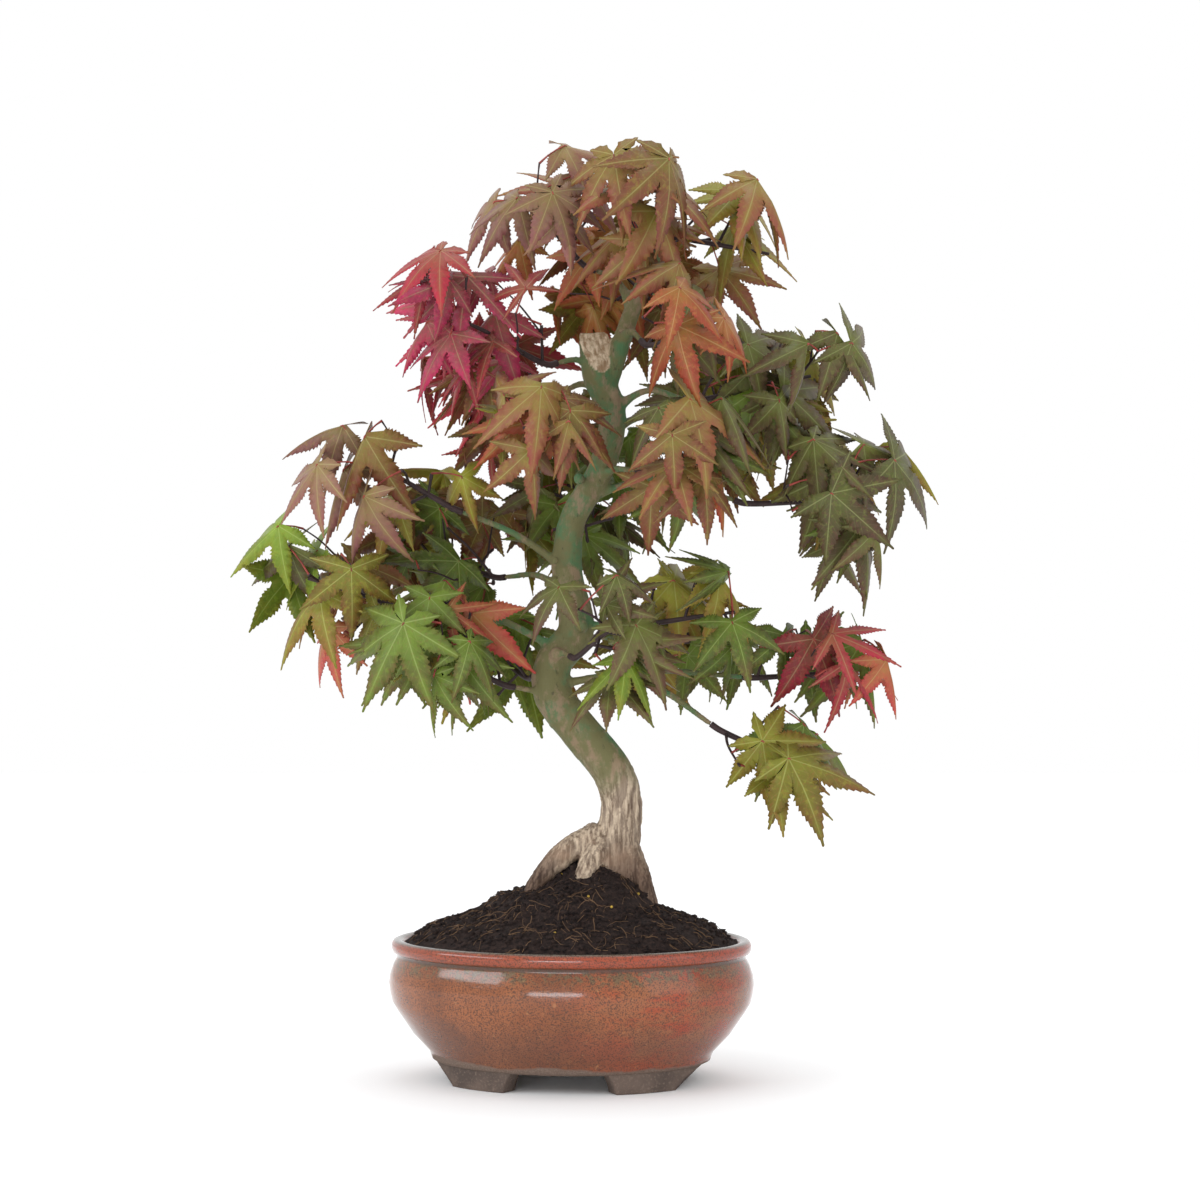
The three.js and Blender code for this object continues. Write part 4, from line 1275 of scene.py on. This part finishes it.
def makeClay():
    material, tree, shader = newMaterial("bare_clay", 0.85, 0.25)
    coordinates = addNode(tree, "TexCoord").outputs["Object"]
    grain = noiseAt(tree, coordinates, 700, 3)
    patches = noiseAt(tree, coordinates, 40, 4)
    clay = twoTone(tree, rampOf(tree, patches, 0.35, 0.65), feetPlan["clay"])
    clay = layOver(tree, clay, rampOf(tree, grain, 0.5, 0.75), 0.4, feetPlan["grit"])
    tree.links.new(clay, shader.inputs["Base Color"])
    bumpInto(tree, shader, grain, 0.4, 0.0008)
    return material


pot = addObject("glazed_pot", makePotMesh(), makeGlaze())
finishPiece(pot, "glaze", "pot")
feet = addObject("clay_feet", makeFeetMesh(), makeClay())
finishPiece(feet, "glaze")
print("pot done")

soilPlan = {
    "edge": 79.4,
    "dome": 18.5,
    "edgeSlope": 4.2,
    "reach": 94,  # half the length of the oval that the soil fills
    "hump": 9,
    "humpAt": (-10, 0),
    "humpReach": 57,
    "humpSlope": 20,
    "peak": 23,
    "peakAt": (4, 0),
    "peakSpread": 26,
    "half": 96.2,
    "rings": 90,
    "steps": 220,
    "crumbs": 2600,
    "fibres": 420,
    "fibreStep": 2.6,
    "pellets": 8,
    "wet": ((20, 14, 15), (66, 50, 44)),
    "dry": (54, 42, 38),
    "fibreColors": {"fibre_tan": (116, 88, 64), "fibre_umber": (70, 48, 38)},
    "pelletColor": (196, 160, 62),
}


def soilHeight(x, y):
    plan = soilPlan
    depth = plan["reach"] * potPlan["depthShare"]
    rho = math.hypot((x - potPlan["centre"][0]) / plan["reach"], y / depth)
    out = math.hypot(x - plan["humpAt"][0], y - plan["humpAt"][1])
    hump = smoothstep(plan["humpReach"] - out, 0, plan["humpSlope"])
    height = plan["edge"] + plan["dome"] * max(0, 1 - rho ** plan["edgeSlope"]) + plan["hump"] * hump
    far = math.hypot(x - plan["peakAt"][0], y - plan["peakAt"][1])
    return height + plan["peak"] * math.exp(-((far / plan["peakSpread"]) ** 2))


def soilSurface(x, y):
    lumps = noise.fractal(Vector((x * 0.06, y * 0.06, 3)), 0.9, 2.1, 5) * 1.7
    return soilHeight(x, y) + lumps


def soilSpot(roll):
    turn, out = roll.uniform(0, 2 * math.pi), math.sqrt(roll.random()) * 0.985
    x = math.cos(turn) * out * soilPlan["reach"]
    y = math.sin(turn) * out * soilPlan["reach"] * potPlan["depthShare"]
    tilt = math.radians(potPlan["turn"])
    aside = x * math.cos(tilt) - y * math.sin(tilt)
    return aside + potPlan["centre"][0], x * math.sin(tilt) + y * math.cos(tilt)


def makeSoilMesh():
    plan = soilPlan
    profile = [(plan["half"] * i / plan["rings"], 70) for i in range(plan["rings"] + 1)]
    profile += [(plan["half"] - 2, 60), (plan["half"] - 4, 50), (0, 50)]
    bm = bmesh.new()
    spinProfile(bm, profile, plan["steps"])
    placeAsPot(bm)
    for vert in bm.verts:
        if vert.co.z > 0.065:
            x, y = vert.co.x / mm, vert.co.y / mm
            vert.co.z = soilSurface(x, y) * mm
    return meshFrom(bm, "compost")


def makeCrumbs():
    crumb = bmesh.new()
    bmesh.ops.create_icosphere(crumb, subdivisions=1, radius=1)
    crumbMesh = meshFrom(crumb, "crumb")
    bm = bmesh.new()
    roll = random.Random(17)
    for i in range(soilPlan["crumbs"]):
        x, y = soilSpot(roll)
        size = roll.uniform(0.5, 1.9) ** 1.3
        stretch = Vector((roll.uniform(0.6, 1.4), roll.uniform(0.6, 1.4), roll.uniform(0.5, 1))) * size
        middle = Vector((x, y, soilSurface(x, y) + size * 0.1))
        first = len(bm.verts)
        bm.from_mesh(crumbMesh)
        bm.verts.ensure_lookup_table()
        for vert in bm.verts[first:]:
            bump = Vector([roll.uniform(-0.3, 0.3) for _ in range(3)])
            vert.co = (middle + (vert.co + bump) * stretch) * mm
    return meshFrom(bm, "crumbs")


def makeFibreRuns(roll, count):
    runs = []
    for _ in range(count):
        x, y = soilSpot(roll)
        turn, bend = roll.uniform(0, 2 * math.pi), roll.uniform(-0.5, 0.5)
        steps = roll.randint(3, 7)
        line = []
        for step in range(steps):
            lift = 0.5 + math.sin(step / (steps - 1) * math.pi) * roll.uniform(0, 1.2)
            line.append((x, y, soilSurface(x, y) + lift))
            x += math.cos(turn) * soilPlan["fibreStep"]
            y += math.sin(turn) * soilPlan["fibreStep"]
            turn += bend
        last = line[-1]
        if math.hypot((last[0] - potPlan["centre"][0]) / 95, last[1] / 75) < 1:
            radius = roll.uniform(0.1, 0.24)
            runs.append((line, [radius] * len(line), 0 if roll.random() < 0.6 else 1))
    return runs


def makeCompostMaterial():
    material, tree, shader = newMaterial("compost", 0.92, 0.25)
    coordinates = addNode(tree, "TexCoord").outputs["Object"]
    crumbs = noiseAt(tree, coordinates, 420, 6, 0.75)
    patches = noiseAt(tree, coordinates, 60, 4)
    soil = twoTone(tree, rampOf(tree, crumbs, 0.35, 0.7), soilPlan["wet"])
    soil = layOver(tree, soil, rampOf(tree, patches, 0.45, 0.7), 0.5, soilPlan["dry"])
    tree.links.new(soil, shader.inputs["Base Color"])
    bumpInto(tree, shader, crumbs, 0.9, 0.0025)
    return material


def makePellets(roll):
    bm = bmesh.new()
    for _ in range(soilPlan["pellets"]):
        x, y = soilSpot(roll)
        size = roll.uniform(0.6, 0.9)
        ball = bmesh.ops.create_icosphere(bm, subdivisions=2, radius=size * mm)["verts"]
        bmesh.ops.translate(bm, verts=ball, vec=Vector((x, y, soilSurface(x, y) + size * 0.6)) * mm)
    return meshFrom(bm, "feed_pellets")


def makeCompost():
    soil = makeCompostMaterial()
    finishPiece(addObject("compost", makeSoilMesh(), soil), "compost", "soil")
    finishPiece(addObject("compost_crumbs", makeCrumbs(), soil), "compost")
    roll = random.Random(29)
    fibreMesh = sweep("peat_fibres", makeFibreRuns(roll, soilPlan["fibres"]), 0)
    skins = [makeMottled(name, color, 0.8) for name, color in soilPlan["fibreColors"].items()]
    finishPiece(addObject("peat_fibres", fibreMesh, *skins), "compost")
    pelletSkin = makeMottled("pellet", soilPlan["pelletColor"], 0.5)
    finishPiece(addObject("feed_pellets", makePellets(roll), pelletSkin), "compost")


makeCompost()
print("compost done")
